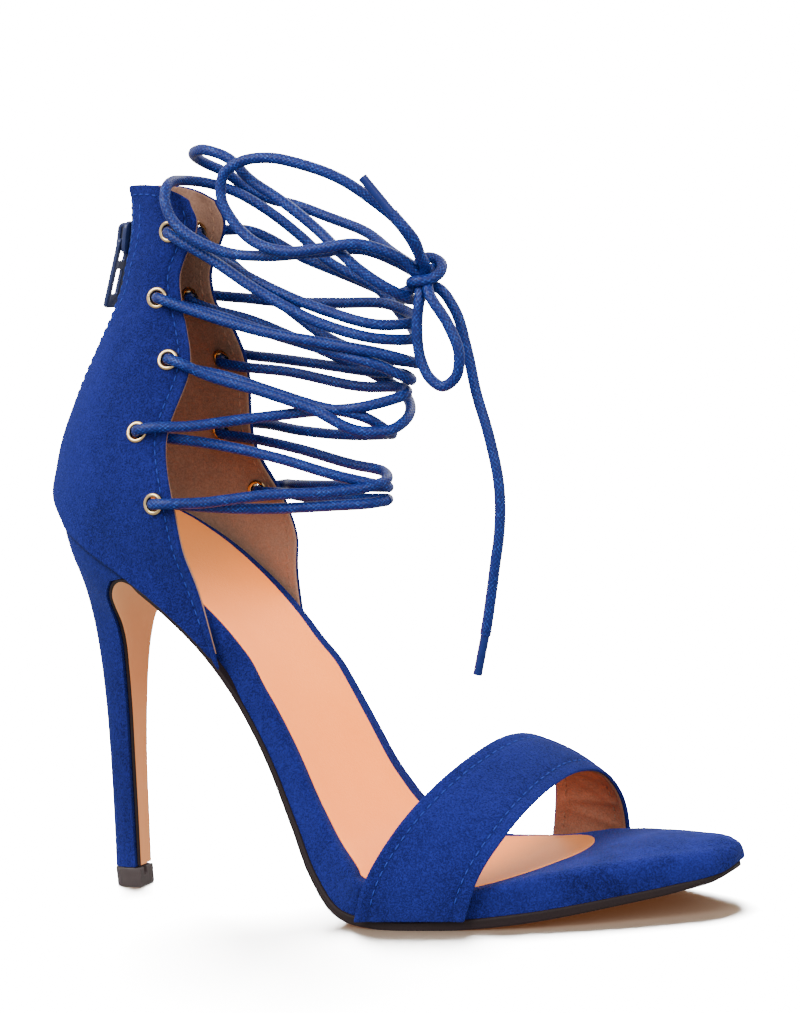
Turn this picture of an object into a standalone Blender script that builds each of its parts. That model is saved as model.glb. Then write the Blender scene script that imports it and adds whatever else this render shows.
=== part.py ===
"""Lace-up open-toe sandal on a stiletto heel, right foot, standing empty on its sole.

Frame: +X to the toe, +Y to the inner (medial) side, +Z up. The origin is the middle of the
flat tread under the ball of the foot. Sizes are written in millimetres and built in metres.
"""
import math

import bmesh
import bpy
import numpy as np
from mathutils import Matrix, Vector

MM = 0.001
GAP = 0.3                     # clearance between pieces that touch on the real shoe

# Driving dimensions of the sole
OUTSOLE_THICK = 2.6
OUTSOLE_SKIVE = ((-80.0, 1.3), (-45.0, 1.7), (-18.0, OUTSOLE_THICK))   # x and thickness along the waist
FLAP_THICK = 1.2              # outsole tongue on the heel breast
FOOTBED_THICK = 7.4
FOOTBED_TOE_THICK = 6.6
FOOTBED_INSET = 0.8           # stands this far inside the outsole's edge
SEAT_GAP = 1.0                # room between the footbed and the quarters' inner face
FOOTBED_EDGE = 2.6            # rounding of the wrapped top edge
FOOTBED_NOSE = 11.0           # length over which the toe end rounds down
FOOTBED_TIP = 0.35            # share of the thickness left at the very tip
SOCK_THICK = 0.8
SOCK_GAP = 0.4
SOCK_INSET = 2.6
SOCK_FRONT = 32.0             # x of the sock's rounded front end
SOCK_NOSE = 26.0              # length over which its front end rounds in
SOCK_TAIL = 5.0               # the same at the back
SOCK_BACK = 8.0               # end of the sock before the end of the feather line
FOOTBED_BACK = 4.6            # the same for the footbed

# Driving dimensions of the upper
WALL = 2.0                    # suede with its lining
STRAP_WALL = 1.8
STRAP_CROWN = 1.2

# Driving dimensions of the heel, hardware and lace
HEEL_TIP_HEIGHT = 6.0
TIP_FRONT, TIP_BACK = -106.9, -117.2
TIP_HALF, TIP_ROUNDNESS = 3.7, 2.6
EYELET_HOLE = 3.9
EYELET_BARREL = 4.7
EYELET_FLANGE = 6.4
EYELET_LIP = 0.55
EYELET_SIDES = 10
EYELET_FOLLOWS = 0.45         # share of the inner edge's lead that its eyelets don't take up
EYELET_FACE = (0.45, 0.65)    # gaps of the flanges to the outer and inner face of the wall
ZIP_WIDTH = 6.0
ZIP_THICK = 1.6
ZIP_BOTTOM = 128.0            # height where the zip stops above the heel seat
ZIP_TOP = 206.0
ZIP_STEPS = 16
ZIP_SUNK = 0.2                # teeth below the outer face
SLOT_REACH = (-7.0, 4.0)      # the slit's cut, inwards and outwards of the outer face
SLOT_RISE = 6.0               # its cut above the collar
SLIDER_HEIGHT = 193.5
SLIDER_LENGTH = 10.0
SLIDER_WIDTH = 7.6
SLIDER_PLATE = 1.4
ARCH_LENGTH = 8.4
ARCH_WIDTH = 1.6
ARCH_CLEAR = 2.2              # room under the arch for the pull's cross-bar
ARCH_THICK = 1.2
PIVOT_DOWN = 1.0              # the cross-bar's place below the middle of the slider
PULL_LENGTH = 20.4
PULL_WIDTH = 6.4
PULL_THICK = 1.2
PULL_WINDOWS = ((0.6, 6.2, 1.6), (8.6, 16.4, 1.5))   # start, end and half-width
PULL_LEAN = 21.0              # degrees from upright, the lower end away from the heel
LACE = 3.1                    # cord diameter
LACE_STEP = 7.0
LACE_LEAVE = 7.0              # how far a strand follows the wall before it turns away
AGLET = 2.7
KNOT = (5.5, -5.0, 174.5)
KNOT_RADIUS = 5.0

# Feather line: the top of the outsole, from the toe tip over the ball and up the waist.
# Columns: x along the shoe, z up, half-widths to the outer and inner side.
FEATHER = (
    #   x       z      outer  inner
    (80.2, 11.5, 2.8, 3.6),
    (79.3, 11.2, 6.0, 5.8),
    (76.2, 10.4, 10.4, 9.4),
    (70.0, 9.3, 15.4, 13.6),
    (57.0, 7.4, 22.4, 19.8),
    (33.0, 4.4, 32.5, 30.0),
    (10.0, 2.6, 37.0, 36.0),
    (-9.0, 2.6, 38.5, 36.0),
    (-21.4, 5.0, 36.8, 34.2),
    (-29.2, 12.6, 33.2, 31.2),
    (-36.4, 26.0, 29.2, 28.8),
    (-44.8, 45.0, 26.6, 27.0),
    (-54.7, 63.5, 25.8, 26.6),
    (-63.3, 75.5, 26.2, 26.6),
    (-74.0, 86.6, 27.2, 27.0),
    (-88.0, 97.8, 27.4, 27.2),
    (-103.0, 107.2, 24.4, 24.2),
    (-113.5, 112.8, 16.6, 16.6),
    (-119.2, 115.4, 6.6, 6.6),
    (-120.4, 116.0, 0.6, 0.6),
)

# The outsole leaves the feather line at the heel and runs down the heel breast.
# Columns: x, z of its upper face, half-width, thickness.
BREAST = (
    #   x        z      half   thick
    (-85.0, 95.4, 26.4, 1.3),
    (-89.6, 96.6, 25.4, 1.3),
    (-93.6, 95.2, 23.4, 1.25),
    (-97.4, 91.6, 20.0, FLAP_THICK),
    (-100.4, 86.8, 14.4, FLAP_THICK),
    (-101.9, 82.0, 10.0, FLAP_THICK),
    (-102.6, 76.5, 7.6, FLAP_THICK),
    (-103.7, 67.0, 5.7, FLAP_THICK),
    (-104.6, 57.0, 4.6, FLAP_THICK),
    (-106.0, 40.0, 3.7, FLAP_THICK),
    (-107.2, 20.0, 3.35, FLAP_THICK),
    (-108.0, 6.8, 3.25, FLAP_THICK),
)

# Heel: sections from the tip up to the seat, flat in front and round behind.
# Columns: x of the front and back, z of the front and back, half-width, roundness.
HEEL = (
    # x_front   x_back   z_front  z_back  half  power
    (-108.4, -117.0, 6.3, 6.3, 3.8, 2.4),
    (-107.62, -116.3, 20.0, 20.0, 3.95, 2.2),
    (-106.42, -115.4, 40.0, 40.0, 4.3, 2.1),
    (-105.05, -115.0, 57.0, 58.5, 5.2, 2.0),
    (-104.15, -115.3, 67.0, 70.5, 6.3, 1.9),
    (-103.05, -116.2, 76.6, 83.0, 8.2, 1.9),
    (-102.35, -117.3, 82.1, 92.0, 10.7, 1.9),
    (-100.8, -118.4, 87.0, 100.5, 15.1, 1.9),
    (-97.75, -119.1, 91.9, 107.4, 20.6, 1.9),
    (-93.85, -119.7, 95.55, 112.0, 24.0, 1.9),
)
HEEL_SEAT = (-90.2, -120.1, 26.4, 1.9)     # the heel's top: x of its front and back, half-width, roundness

# Quarters: level lines from the feather line to the collar, seen from the side.
# Columns: x and z of the front edge and of the back, half-widths at the front edge and behind it,
# roundness of the back, the eyelet's distance behind the outer front edge (0 where there is none),
# and how much further forward and lower the inner front edge stands.
QUARTER = (
    # x_front  z_front  x_back   z_back  front  half  power  setback  lead  drop
    (-63.4, 89.0, -121.6, 122.0, 26.0, 28.6, 2.7, 0.0, 3.4, 0.0),
    (-66.2, 103.0, -120.0, 130.0, 28.6, 29.4, 2.5, 0.0, 5.6, 1.2),
    (-67.4, 115.0, -117.0, 137.0, 29.0, 28.8, 2.4, 5.7, 3.8, 3.0),
    (-71.4, 134.6, -111.0, 149.6, 23.6, 24.6, 2.3, 8.4, 2.4, 4.4),
    (-66.2, 156.0, -103.0, 164.6, 15.2, 17.8, 2.2, 6.0, 1.6, 1.0),
    (-68.7, 166.6, -97.8, 173.4, 11.4, 13.8, 2.1, 0.0, 2.4, 0.4),
    (-69.4, 173.4, -94.6, 180.4, 9.4, 11.4, 2.0, 8.0, 1.0, 0.0),
    (-64.3, 193.4, -90.0, 195.0, 8.8, 9.6, 2.0, 7.8, 0.0, 0.0),
    (-65.6, 201.6, -88.2, 206.4, 8.2, 9.0, 2.0, 0.0, 0.0, 0.0),
)
QUARTER_FRONT = -59.0         # x where the quarters meet the feather line in front
QUARTER_LIFT = 1.0            # lower edge of the quarters above the feather line
QUARTER_FOOT = 2.8            # roundness of the quarters' lower edge round the heel
QUARTER_ROWS = 22
QUARTER_COLUMNS = 15          # on each side of the back line

# Toe strap: rows across the foot from the outer foot to the inner one.
# Columns: the back edge and the front edge of the strap.
STRAP = (
    # back x    y      z     front x   y      z
    (-14.0, -41.0, 2.9, 17.0, -38.4, 3.4),
    (-10.4, -40.9, 12.6, 21.2, -37.2, 14.0),
    (-1.8, -35.4, 27.0, 27.6, -29.0, 25.4),
    (10.2, -20.0, 40.2, 33.2, -12.0, 33.4),
    (18.4, -1.0, 45.4, 36.0, 4.0, 35.2),
    (20.6, 17.0, 40.6, 37.8, 18.0, 31.8),
    (16.8, 31.4, 29.0, 38.6, 28.0, 22.4),
    (12.6, 38.0, 14.0, 38.0, 31.8, 12.0),
    (10.0, 38.8, 2.8, 37.6, 32.2, 5.4),
)

# Lace strands between the quarters, from an eyelet of the outer side to one of the inner side.
# Each end names its eyelet, counted from the top, and the face it leaves; then the points between.
CROSSINGS = {
    "lace_bar_5": (
        ((5, "in"), (5, "in"), (
            (-50, -18, 114), (-25, -10, 113), (-17.5, -6.5, 112.8), (-14.6, 0, 112.8),
            (-17.5, 6.5, 112.8), (-25, 10, 112.8), (-50, 18, 113.6))),
    ),
    "lace_cross_5": (
        ((5, "out"), (4, "in"), (
            (-60, -27, 117), (-43, -19, 117.6), (-24, -10.5, 117), (-17, -7, 117.4),
            (-14, 0, 118.6), (-18, 6.6, 120.6), (-29, 9, 123), (-50, 13.5, 128.5))),
        ((4, "in"), (5, "out"), (
            (-62, -15.5, 133), (-42, -12, 127.5), (-24, -8.6, 121), (-17.5, -6, 118.8),
            (-14.2, 0, 116.8), (-17.5, 6.6, 116.2), (-30, 12, 116.4), (-50, 21, 116.8),
            (-60, 27.4, 116.8))),
    ),
    "lace_cross_4": (
        ((4, "out"), (3, "in"), (
            (-66, -22, 138.4), (-50, -13.5, 139), (-33, -7.5, 139.6), (-13, -7.6, 140.2),
            (-5.4, 0, 142.4), (-10, 6.6, 144), (-22, 7.4, 145), (-48, 9.4, 151))),
        ((3, "in"), (4, "out"), (
            (-58, -9.4, 151.5), (-43.6, -8.8, 146.2), (-30, -8.2, 141.2), (-14.5, -6.4, 136.4),
            (-11.4, 0, 131.8), (-15, 6.6, 131.2), (-27, 10.5, 131.2), (-50, 17, 133.4),
            (-64, 22.6, 135.6))),
    ),
    "lace_cross_3": (
        ((3, "out"), (2, "in"), (
            (-62, -16.6, 153.4), (-43.6, -13, 146.2), (-30, -11.6, 140.8), (-14.6, -10, 133.2),
            (-8.2, -5.2, 133), (-6.2, 0, 135.2), (-7.6, 6.4, 138.6), (-12.5, 11.4, 143),
            (-22, 12.6, 148.5), (-40, 10.5, 158), (-58, 7.4, 167))),
        ((2, "in"), (3, "out"), (
            (-60, -6, 168.6), (-43, -7, 162.4), (-24, -7.6, 156), (-9, -6.8, 150.8),
            (-3.6, 0, 146.2), (-9, 6.8, 147.8), (-20.6, 10.6, 149), (-40, 14, 152.4),
            (-58, 17, 155.4))),
    ),
    "lace_cross_2": (
        ((2, "out"), (1, "in"), (
            (-64, -11.8, 170.4), (-43, -10.8, 163), (-24, -9.8, 158.4), (-7.5, -7, 154),
            (-1.6, 0, 150.8), (-6.5, 6.6, 151), (-19, 9, 153.4), (-34, 9.4, 160),
            (-47, 10.2, 169.6), (-58, 7.4, 180), (-66, 5, 188))),
        ((1, "in"), (2, "out"), (
            (-58, -6.4, 184.6), (-42, -8, 175.6), (-24, -8.4, 167.4), (-6.5, -7, 162),
            (-0.6, 0, 162.2), (-6, 6.8, 165), (-12, 8.6, 167.4), (-30, 10.6, 169.4),
            (-46, 11.6, 170.8), (-62, 12.2, 173.4))),
    ),
}

# The two ankle turns: each leaves the top eyelet of one side and ends at the knot.
TURN_OUTER = (
    (-60, -11.6, 186.4), (-42, -11.4, 173.8), (-24, -10.8, 163.8), (-7, -8.2, 158.2),
    (-1.4, 0, 157.6), (-5, 7, 160), (-9, 10.6, 163), (-17.5, 13.6, 171.6), (-34, 13.6, 182),
    (-42, 13, 190), (-53, 11.6, 199.4), (-62, 10.4, 205), (-68.6, 6.6, 207.8), (-72, 0, 208.6),
    (-71.6, -6.5, 208), (-70.6, -11, 206), (-69.8, -13.4, 202.4), (-68, -14, 197.6),
    (-62, -14.6, 191.8), (-50.6, -13.6, 186), (-39, -13.4, 184), (-22, -12.6, 183),
    (-9.5, -9.6, 179.4), (-0.2, -4.6, 175.9))
TURN_INNER = (
    (-62, 13.2, 193.4), (-42, 17.4, 182.6), (-29, 17.6, 176.6), (-20, 18, 172.2),
    (-12, 15.4, 169.2), (-5, 9.6, 168.4), (-0.4, 4, 168.4), (1.2, -3, 168.2), (0.6, -9, 169.6),
    (-2.6, -13.4, 172.6),
    (-9, -15.4, 178), (-14, -15, 182.6), (-21, -13, 189), (-32.5, -12.4, 198.7),
    (-43, -12, 206.4), (-48.2, -12, 212), (-56, -11.6, 215.4), (-62.5, -7, 215.6),
    (-66, -1, 214.8), (-66.2, 5, 213), (-62.4, 9.4, 210), (-60, 13.6, 206.4), (-51.5, 16.4, 201),
    (-46, 16.6, 199.4), (-33, 16.2, 194), (-20, 13, 188.6), (-10, 7, 182.6), (2.3, -1, 176.2))

# The bow: two loops and two ends that hang free from the knot.
LOOP_BIG = (
    (2.4, -9.1, 176.6), (-1.6, -13, 180.4), (-8, -17.6, 183.6), (-17, -19.2, 183.8),
    (-28.5, -18.4, 184.4), (-39.4, -17.6, 188), (-46, -17.2, 194.6), (-49, -17.2, 201.4),
    (-47.6, -17.2, 207.4), (-41.8, -17.2, 210.4), (-33, -16.6, 210.6), (-24, -15.8, 208),
    (-12.5, -14, 202.6), (-4.6, -12.4, 196.4), (1.4, -9.6, 189.8), (5.6, -6.4, 180))
LOOP_SMALL = (
    (5.3, -7.9, 169), (4, -8.4, 161), (4.1, -8, 151.6), (6.4, -8, 146.4), (9.8, -8, 144),
    (14, -8.2, 146), (16, -8.6, 152), (13.8, -9, 160.4), (8.5, -8.6, 169.8))
END_SHORT = ((7.6, -8.8, 177.8), (8, -12.6, 181), (7.4, -14.6, 184.6), (5, -16, 189), (3.2, -16.4, 192))
AGLET_SHORT = ((3.0, -16.45, 192.3), (-4, -17.6, 202.2))
END_LONG = (
    (9.6, -3.4, 170.4), (12.8, -2.2, 164.6), (15, -1.4, 154), (16.7, -1, 141), (19.2, -1, 130),
    (21.1, -1, 114.4), (19.6, -1, 100.7), (18.2, -1, 95), (16.1, -1, 86), (13.3, -1, 75))
AGLET_LONG = ((13.2, -1, 74.65), (9.7, -1, 63.2))


def material(name, color, roughness, metallic=0.0):
    mat = bpy.data.materials.new(name)
    mat.use_nodes = True
    shader = mat.node_tree.nodes["Principled BSDF"]
    shader.inputs["Base Color"].default_value = (*color, 1.0)
    shader.inputs["Roughness"].default_value = roughness
    shader.inputs["Metallic"].default_value = metallic
    return mat


def clear_scene():
    for obj in list(bpy.data.objects):
        bpy.data.objects.remove(obj)


def spline(knots, rows, at):
    """Smooth curve through rows of numbers, read at the given knot values."""
    knots = np.asarray(knots, float)
    rows = np.asarray(rows, float)
    at = np.clip(np.atleast_1d(np.asarray(at, float)), knots[0], knots[-1])
    steps = np.diff(knots)
    slopes = np.diff(rows, axis=0) / steps[:, None]
    tangents = np.empty_like(rows)
    tangents[0] = slopes[0]
    tangents[-1] = slopes[-1]
    weights = steps[1:, None] + steps[:-1, None]
    tangents[1:-1] = (slopes[:-1] * steps[1:, None] + slopes[1:] * steps[:-1, None]) / weights
    cell = np.clip(np.searchsorted(knots, at, side="right") - 1, 0, len(steps) - 1)
    h = steps[cell][:, None]
    f = ((at - knots[cell]) / steps[cell])[:, None]
    rise = f * f * (3 - 2 * f)
    curve = rows[cell] * (1 - rise) + rows[cell + 1] * rise
    curve += h * tangents[cell] * (f * (1 - f) ** 2) - h * tangents[cell + 1] * (f * f * (1 - f))
    return curve


def lengths(points):
    """Distance along a polyline at each of its points."""
    points = np.asarray(points, float)
    return np.concatenate(([0.0], np.cumsum(np.linalg.norm(np.diff(points, axis=0), axis=1))))


def add_object(name, mesh, mat):
    obj = bpy.data.objects.new(name, mesh)
    bpy.context.scene.collection.objects.link(obj)
    mesh.materials.append(mat)
    mesh.shade_smooth()
    mesh.set_sharp_from_angle(angle=math.radians(40))
    return obj


def loft(name, rings, mat):
    """Solid through rings of equal length, each a closed loop, with both ends filled."""
    bm = bmesh.new()
    loops = [[bm.verts.new(Vector(p) * MM) for p in ring] for ring in rings]
    for low, high in zip(loops, loops[1:]):
        count = len(low)
        for i in range(count):
            j = (i + 1) % count
            bm.faces.new((low[i], low[j], high[j], high[i]))
    bm.faces.new(loops[0])
    bm.faces.new(loops[-1])
    bmesh.ops.recalc_face_normals(bm, faces=bm.faces)
    mesh = bpy.data.meshes.new(name)
    bm.to_mesh(mesh)
    bm.free()
    return add_object(name, mesh, mat)


def wall(name, outer, inner, mat):
    """Solid wall between two grids of points, closed along its four edges."""
    bm = bmesh.new()
    grids = []
    for grid in (outer, inner):
        grids.append([[bm.verts.new(Vector(p) * MM) for p in row] for row in grid])
    rows = len(outer)
    columns = len(outer[0])
    for verts in grids:
        for r in range(rows - 1):
            for c in range(columns - 1):
                bm.faces.new((verts[r][c], verts[r][c + 1], verts[r + 1][c + 1], verts[r + 1][c]))
    edge = [(0, c) for c in range(columns)]
    edge += [(r, columns - 1) for r in range(1, rows)]
    edge += [(rows - 1, c) for c in range(columns - 2, -1, -1)]
    edge += [(r, 0) for r in range(rows - 2, 0, -1)]
    for (r, c), (r2, c2) in zip(edge, edge[1:] + edge[:1]):
        bm.faces.new((grids[0][r][c], grids[0][r2][c2], grids[1][r2][c2], grids[1][r][c]))
    bmesh.ops.recalc_face_normals(bm, faces=bm.faces)
    mesh = bpy.data.meshes.new(name)
    bm.to_mesh(mesh)
    bm.free()
    return add_object(name, mesh, mat)


def grid_normals(grid):
    """Unit normals of a grid of points, pointing away from the shoe's long middle plane."""
    grid = np.asarray(grid, float)
    along = np.gradient(grid, axis=1)
    up = np.gradient(grid, axis=0)
    normal = np.cross(up, along)
    return normal / np.linalg.norm(normal, axis=2, keepdims=True)


# Sole frame: distance along the feather line, its point, direction and widths
FEATHER_TABLE = np.array(FEATHER)
FEATHER_KNOTS = lengths(FEATHER_TABLE[:, :2])
SOLE_STATIONS = np.concatenate((
    np.linspace(0.0, 18.0, 8), np.linspace(24.0, 84.0, 10), np.linspace(88.0, 128.0, 11),
    np.linspace(134.0, 224.0, 14), np.linspace(229.0, FEATHER_KNOTS[-1] - FOOTBED_BACK, 9)))


def feather(distance):
    """Points, upward normals and half-widths (outer, inner) of the feather line."""
    rows = spline(FEATHER_KNOTS, FEATHER_TABLE, distance)
    ahead = spline(FEATHER_KNOTS, FEATHER_TABLE, np.asarray(distance) + 0.2)
    behind = spline(FEATHER_KNOTS, FEATHER_TABLE, np.asarray(distance) - 0.2)
    tangent = (ahead - behind)[:, :2]
    tangent /= np.linalg.norm(tangent, axis=1, keepdims=True)
    normal = np.stack((tangent[:, 1], -tangent[:, 0]), axis=1)
    return rows[:, :2], normal, rows[:, 2], rows[:, 3]


def feather_at(x):
    """Distance along the feather line where it passes the given x."""
    table = np.linspace(0.0, FEATHER_KNOTS[-1], 1200)
    xs = spline(FEATHER_KNOTS, FEATHER_TABLE, table)[:, 0]
    return float(np.interp(-x, -xs, table))


def sole_stations(start, end):
    """Distances along the feather line between two limits, the same for every layer of the sole."""
    inside = SOLE_STATIONS[(SOLE_STATIONS > start + 1.0) & (SOLE_STATIONS < end - 1.0)]
    return np.concatenate(([start], inside, [end]))


def build_outsole(mat):
    stop = feather_at(BREAST[0][0]) - 4.0
    point, normal, outer, inner = feather(sole_stations(0.0, stop))
    turn = np.array(BREAST)
    path = np.vstack((point, turn[:, :2]))
    outer = np.concatenate((outer, turn[:, 2]))
    inner = np.concatenate((inner, turn[:, 2]))
    skive = np.interp(point[:, 0], *np.transpose(OUTSOLE_SKIVE))
    thick = np.concatenate((skive, turn[:, 3]))
    knots = lengths(path)
    rows = np.column_stack((path, outer, inner, thick))
    at = np.concatenate((knots[:len(point)], np.linspace(knots[len(point)], knots[-1], 22)))
    rows = spline(knots, rows, at)
    tangent = np.gradient(rows[:, :2], axis=0)
    tangent /= np.linalg.norm(tangent, axis=1, keepdims=True)
    down = np.stack((-tangent[:, 1], tangent[:, 0]), axis=1)
    rings = []
    for (x, z, out, inn, deep), (dx, dz) in zip(rows, down):
        edge = min(1.0, 0.25 * (out + inn))
        low_x = x + dx * deep
        low_z = max(z + dz * deep, 0.0)
        mid_x = x + dx * deep * 0.5
        mid_z = z + dz * deep * 0.5
        rings.append((
            (x, -out + 0.15, z), (mid_x, -out, mid_z), (low_x, -out + edge, low_z),
            (low_x, inn - edge, low_z), (mid_x, inn, mid_z), (x, inn - 0.15, z)))
    return loft("outsole", rings, mat)


def seat_inset(x):
    """How far the footbed stands inside the outline: by the wall where the quarters wrap it."""
    f = np.clip((QUARTER_FRONT + 7.0 - x) / 6.0, 0.0, 1.0)
    f = f * f * (3 - 2 * f)
    return FOOTBED_INSET + (WALL + SEAT_GAP - FOOTBED_INSET) * f


def footbed_top(x):
    """Thickness of the footbed at x: thinner at the toe, and rounded down at its tip."""
    f = np.clip((x - 20.0) / 60.0, 0.0, 1.0)
    top = FOOTBED_THICK + (FOOTBED_TOE_THICK - FOOTBED_THICK) * f
    back = np.clip((FEATHER[0][0] - x) / FOOTBED_NOSE, 0.0, 1.0)
    return top * (FOOTBED_TIP + (1 - FOOTBED_TIP) * math.sqrt(1 - (1 - back) ** 2))


def build_footbed(mat):
    at = sole_stations(0.6, FEATHER_KNOTS[-1] - FOOTBED_BACK)
    point, normal, outer, inner = feather(at)
    rings = []
    for (x, z), (nx, nz), out, inn in zip(point, normal, outer, inner):
        inset = seat_inset(x)
        half = (out + inn) / 2 - inset
        middle = (inn - out) / 2
        half = max(half, 0.8)
        top = footbed_top(x)
        edge = min(FOOTBED_EDGE, 0.6 * half)
        ring = []
        for y, h in ((-half, GAP), (-half, top - edge), (-half + 0.3 * edge, top - 0.3 * edge),
                     (-half + edge, top), (half - edge, top), (half - 0.3 * edge, top - 0.3 * edge),
                     (half, top - edge), (half, GAP)):
            ring.append((x + nx * h, middle + y, z + nz * h))
        rings.append(ring)
    return loft("footbed", rings, mat)


def build_sock(mat):
    start = feather_at(SOCK_FRONT)
    end = FEATHER_KNOTS[-1] - SOCK_BACK
    at = sole_stations(start, end)
    point, normal, outer, inner = feather(at)
    rings = []
    for (x, z), (nx, nz), out, inn, d in zip(point, normal, outer, inner, at):
        inset = seat_inset(x) + SOCK_INSET
        f = np.clip((d - start) / SOCK_NOSE, 0.0, 1.0)
        rounding = math.sqrt(max(1 - (1 - f) ** 2.2, 0.0))
        tail = np.clip((end - d) / SOCK_TAIL, 0.0, 1.0)
        rounding *= 0.35 + 0.65 * math.sqrt(1 - (1 - tail) ** 2)
        half = max(((out + inn) / 2 - inset) * rounding, 1.2)
        middle = (inn - out) / 2
        low = footbed_top(x) + SOCK_GAP
        high = low + SOCK_THICK
        ring = []
        for y, h in ((-half, low), (-half + 0.4, high), (half - 0.4, high), (half, low)):
            ring.append((x + nx * h, middle + y, z + nz * h))
        rings.append(ring)
    return loft("sock", rings, mat)


def build_heel(mat):
    rows = np.array(HEEL)
    knots = lengths(rows[:, 1:4:2])
    at = np.linspace(0.0, knots[-1], 18)
    rings = []
    for x_front, x_back, z_front, z_back, half, power in spline(knots, rows, at):
        rings.append(heel_ring(x_front, x_back, z_front, z_back, half, power))
    top = []
    x_front, x_back, half, power = HEEL_SEAT
    for x, y, z in heel_ring(x_front, x_back, 0.0, 0.0, half, power):
        point = feather([feather_at(x)])[0][0]
        top.append((x, y, point[1] - 0.1))
    rings.append(top)
    return loft("heel", rings, mat)


def heel_ring(x_front, x_back, z_front, z_back, half, power):
    ring = []
    for angle in np.linspace(-90.0, 90.0, 15):
        c = abs(math.cos(math.radians(angle))) ** (2 / power)
        s = math.sin(math.radians(angle))
        y = math.copysign(abs(s) ** (2 / power), s) * half
        ring.append((x_front + (x_back - x_front) * c, y, z_front + (z_back - z_front) * c))
    return ring


def build_heel_tip(mat):
    rings = []
    for z, grow in ((0.0, 0.0), (0.6, 0.35), (HEEL_TIP_HEIGHT, 0.2)):
        ring = heel_ring(TIP_FRONT + grow, TIP_BACK - grow, z, z, TIP_HALF + grow, TIP_ROUNDNESS)
        rings.append(ring)
    return loft("heel_tip", rings, mat)


def quarter_lines(side):
    """Level lines of the quarters' outer face. Side runs from -1, the outer front edge, to 1."""
    side = np.asarray(side, float)
    angle = (1 - np.abs(side)) * np.pi / 2
    sign = np.sign(side)
    inner_side = (sign > 0).astype(float)
    back = FEATHER[-1][0] - 0.2
    q = np.sin(angle) ** (2 / QUARTER_FOOT)
    x = QUARTER_FRONT + (back - QUARTER_FRONT) * q
    point, normal, outer, inner = feather([feather_at(v) for v in x])
    y = np.where(sign < 0, -outer, inner) * np.abs(sign)
    lift = QUARTER_LIFT
    rows = [np.column_stack((x + normal[:, 0] * lift, y, point[:, 1] + normal[:, 1] * lift))]
    for x_front, z_front, x_back, z_back, front, half, power, setback, lead, drop in QUARTER:
        q = np.sin(angle) ** (2 / power)
        w = np.cos(angle) ** (2 / power)
        ease = np.clip(q / 0.5, 0.0, 1.0)
        ease = ease * ease * (3 - 2 * ease)
        fade = inner_side * (1 - q) ** 2
        rows.append(np.column_stack((
            x_front + (x_back - x_front) * q + lead * fade,
            sign * w * (front + (half - front) * ease),
            z_front + (z_back - z_front) * q - drop * fade)))
    return np.array(rows)


def back_knots():
    return lengths(quarter_lines([0.0])[:, 0])


def quarter_points(levels, side):
    """Points of the outer face at heights measured along the back line."""
    rows = quarter_lines(side)
    knots = back_knots()
    return np.stack([spline(knots, rows[:, c], levels) for c in range(rows.shape[1])], axis=1)


def back_line(z):
    """Level along the back line at height z, with its point, upward tangent and outward normal."""
    knots = back_knots()
    table = np.linspace(0.0, knots[-1], 600)
    line = quarter_points(table, [0.0])[:, 0]
    level = float(np.interp(z, line[:, 2], table))
    low, point, high = quarter_points([level - 0.5, level, level + 0.5], [0.0])[:, 0]
    tangent = high - low
    tangent /= np.linalg.norm(tangent)
    normal = np.array((-tangent[2], 0.0, tangent[0]))
    return point, tangent, normal


def eyelet_row(number):
    """Row of the quarters' table that holds an eyelet, counted from the top."""
    rows = [i for i, row in enumerate(QUARTER) if row[7] > 0.0]
    return rows[-number]


def eyelet_seat(number, hand):
    """Centre and outward normal of an eyelet; hand is -1 on the outer side and 1 on the inner."""
    row = eyelet_row(number)
    x_front, _, x_back, _, _, _, power, setback, lead, _ = QUARTER[row]
    q = setback / (x_front - x_back)
    if hand > 0:
        q += EYELET_FOLLOWS * lead * (1 - q) ** 2 / (x_front - x_back)
    side = hand * (1 - math.asin(q ** (power / 2)) * 2 / math.pi)
    level = back_knots()[row + 1]
    grid = quarter_points([level - 0.5, level, level + 0.5], [side - 0.01, side, side + 0.01])
    normal = np.cross(grid[2, 1] - grid[0, 1], grid[1, 2] - grid[1, 0])
    return grid[1, 1], normal / np.linalg.norm(normal)


def add_cutter(obj, cutter, operation):
    cutter.hide_render = True
    cutter.display_type = "WIRE"
    step = obj.modifiers.new(cutter.name, "BOOLEAN")
    step.operation = operation
    step.solver = "EXACT"
    step.object = cutter


def seat_frame(center, normal):
    """Matrix that turns +Z to the normal and moves the origin to the centre, in metres."""
    turn = Vector(normal).to_track_quat("Z", "Y").to_matrix().to_4x4()
    return Matrix.Translation(Vector(center) * MM) @ turn


def eyelet_holes(mat):
    """All eyelet holes as one cutter."""
    bm = bmesh.new()
    for hand in (-1, 1):
        for number in range(1, 6):
            center, normal = eyelet_seat(number, hand)
            middle = center - normal * WALL / 2
            bmesh.ops.create_cone(
                bm, cap_ends=True, segments=EYELET_SIDES, depth=(WALL + 4.0) * MM,
                radius1=(EYELET_BARREL / 2 + GAP) * MM, radius2=(EYELET_BARREL / 2 + GAP) * MM,
                matrix=seat_frame(middle, normal))
    mesh = bpy.data.meshes.new("eyelet_holes")
    bm.to_mesh(mesh)
    bm.free()
    return add_object("eyelet_holes", mesh, mat)


def zip_strip(name, z_low, z_high, half, low, high, mat, rise=0.0):
    """Strip along the back line, between two offsets from the outer face; rise lengthens its top."""
    heights = np.linspace(z_low, z_high, ZIP_STEPS)
    rings = []
    for z, up in zip(heights, (*np.zeros(ZIP_STEPS - 1), rise)):
        point, tangent, normal = back_line(z)
        middle = point + tangent * up
        ring = []
        for y, h in ((-half, low), (half, low), (half, high), (-half, high)):
            ring.append(middle + normal * h + np.array((0.0, y, 0.0)))
        rings.append(ring)
    return loft(name, rings, mat)


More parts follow.
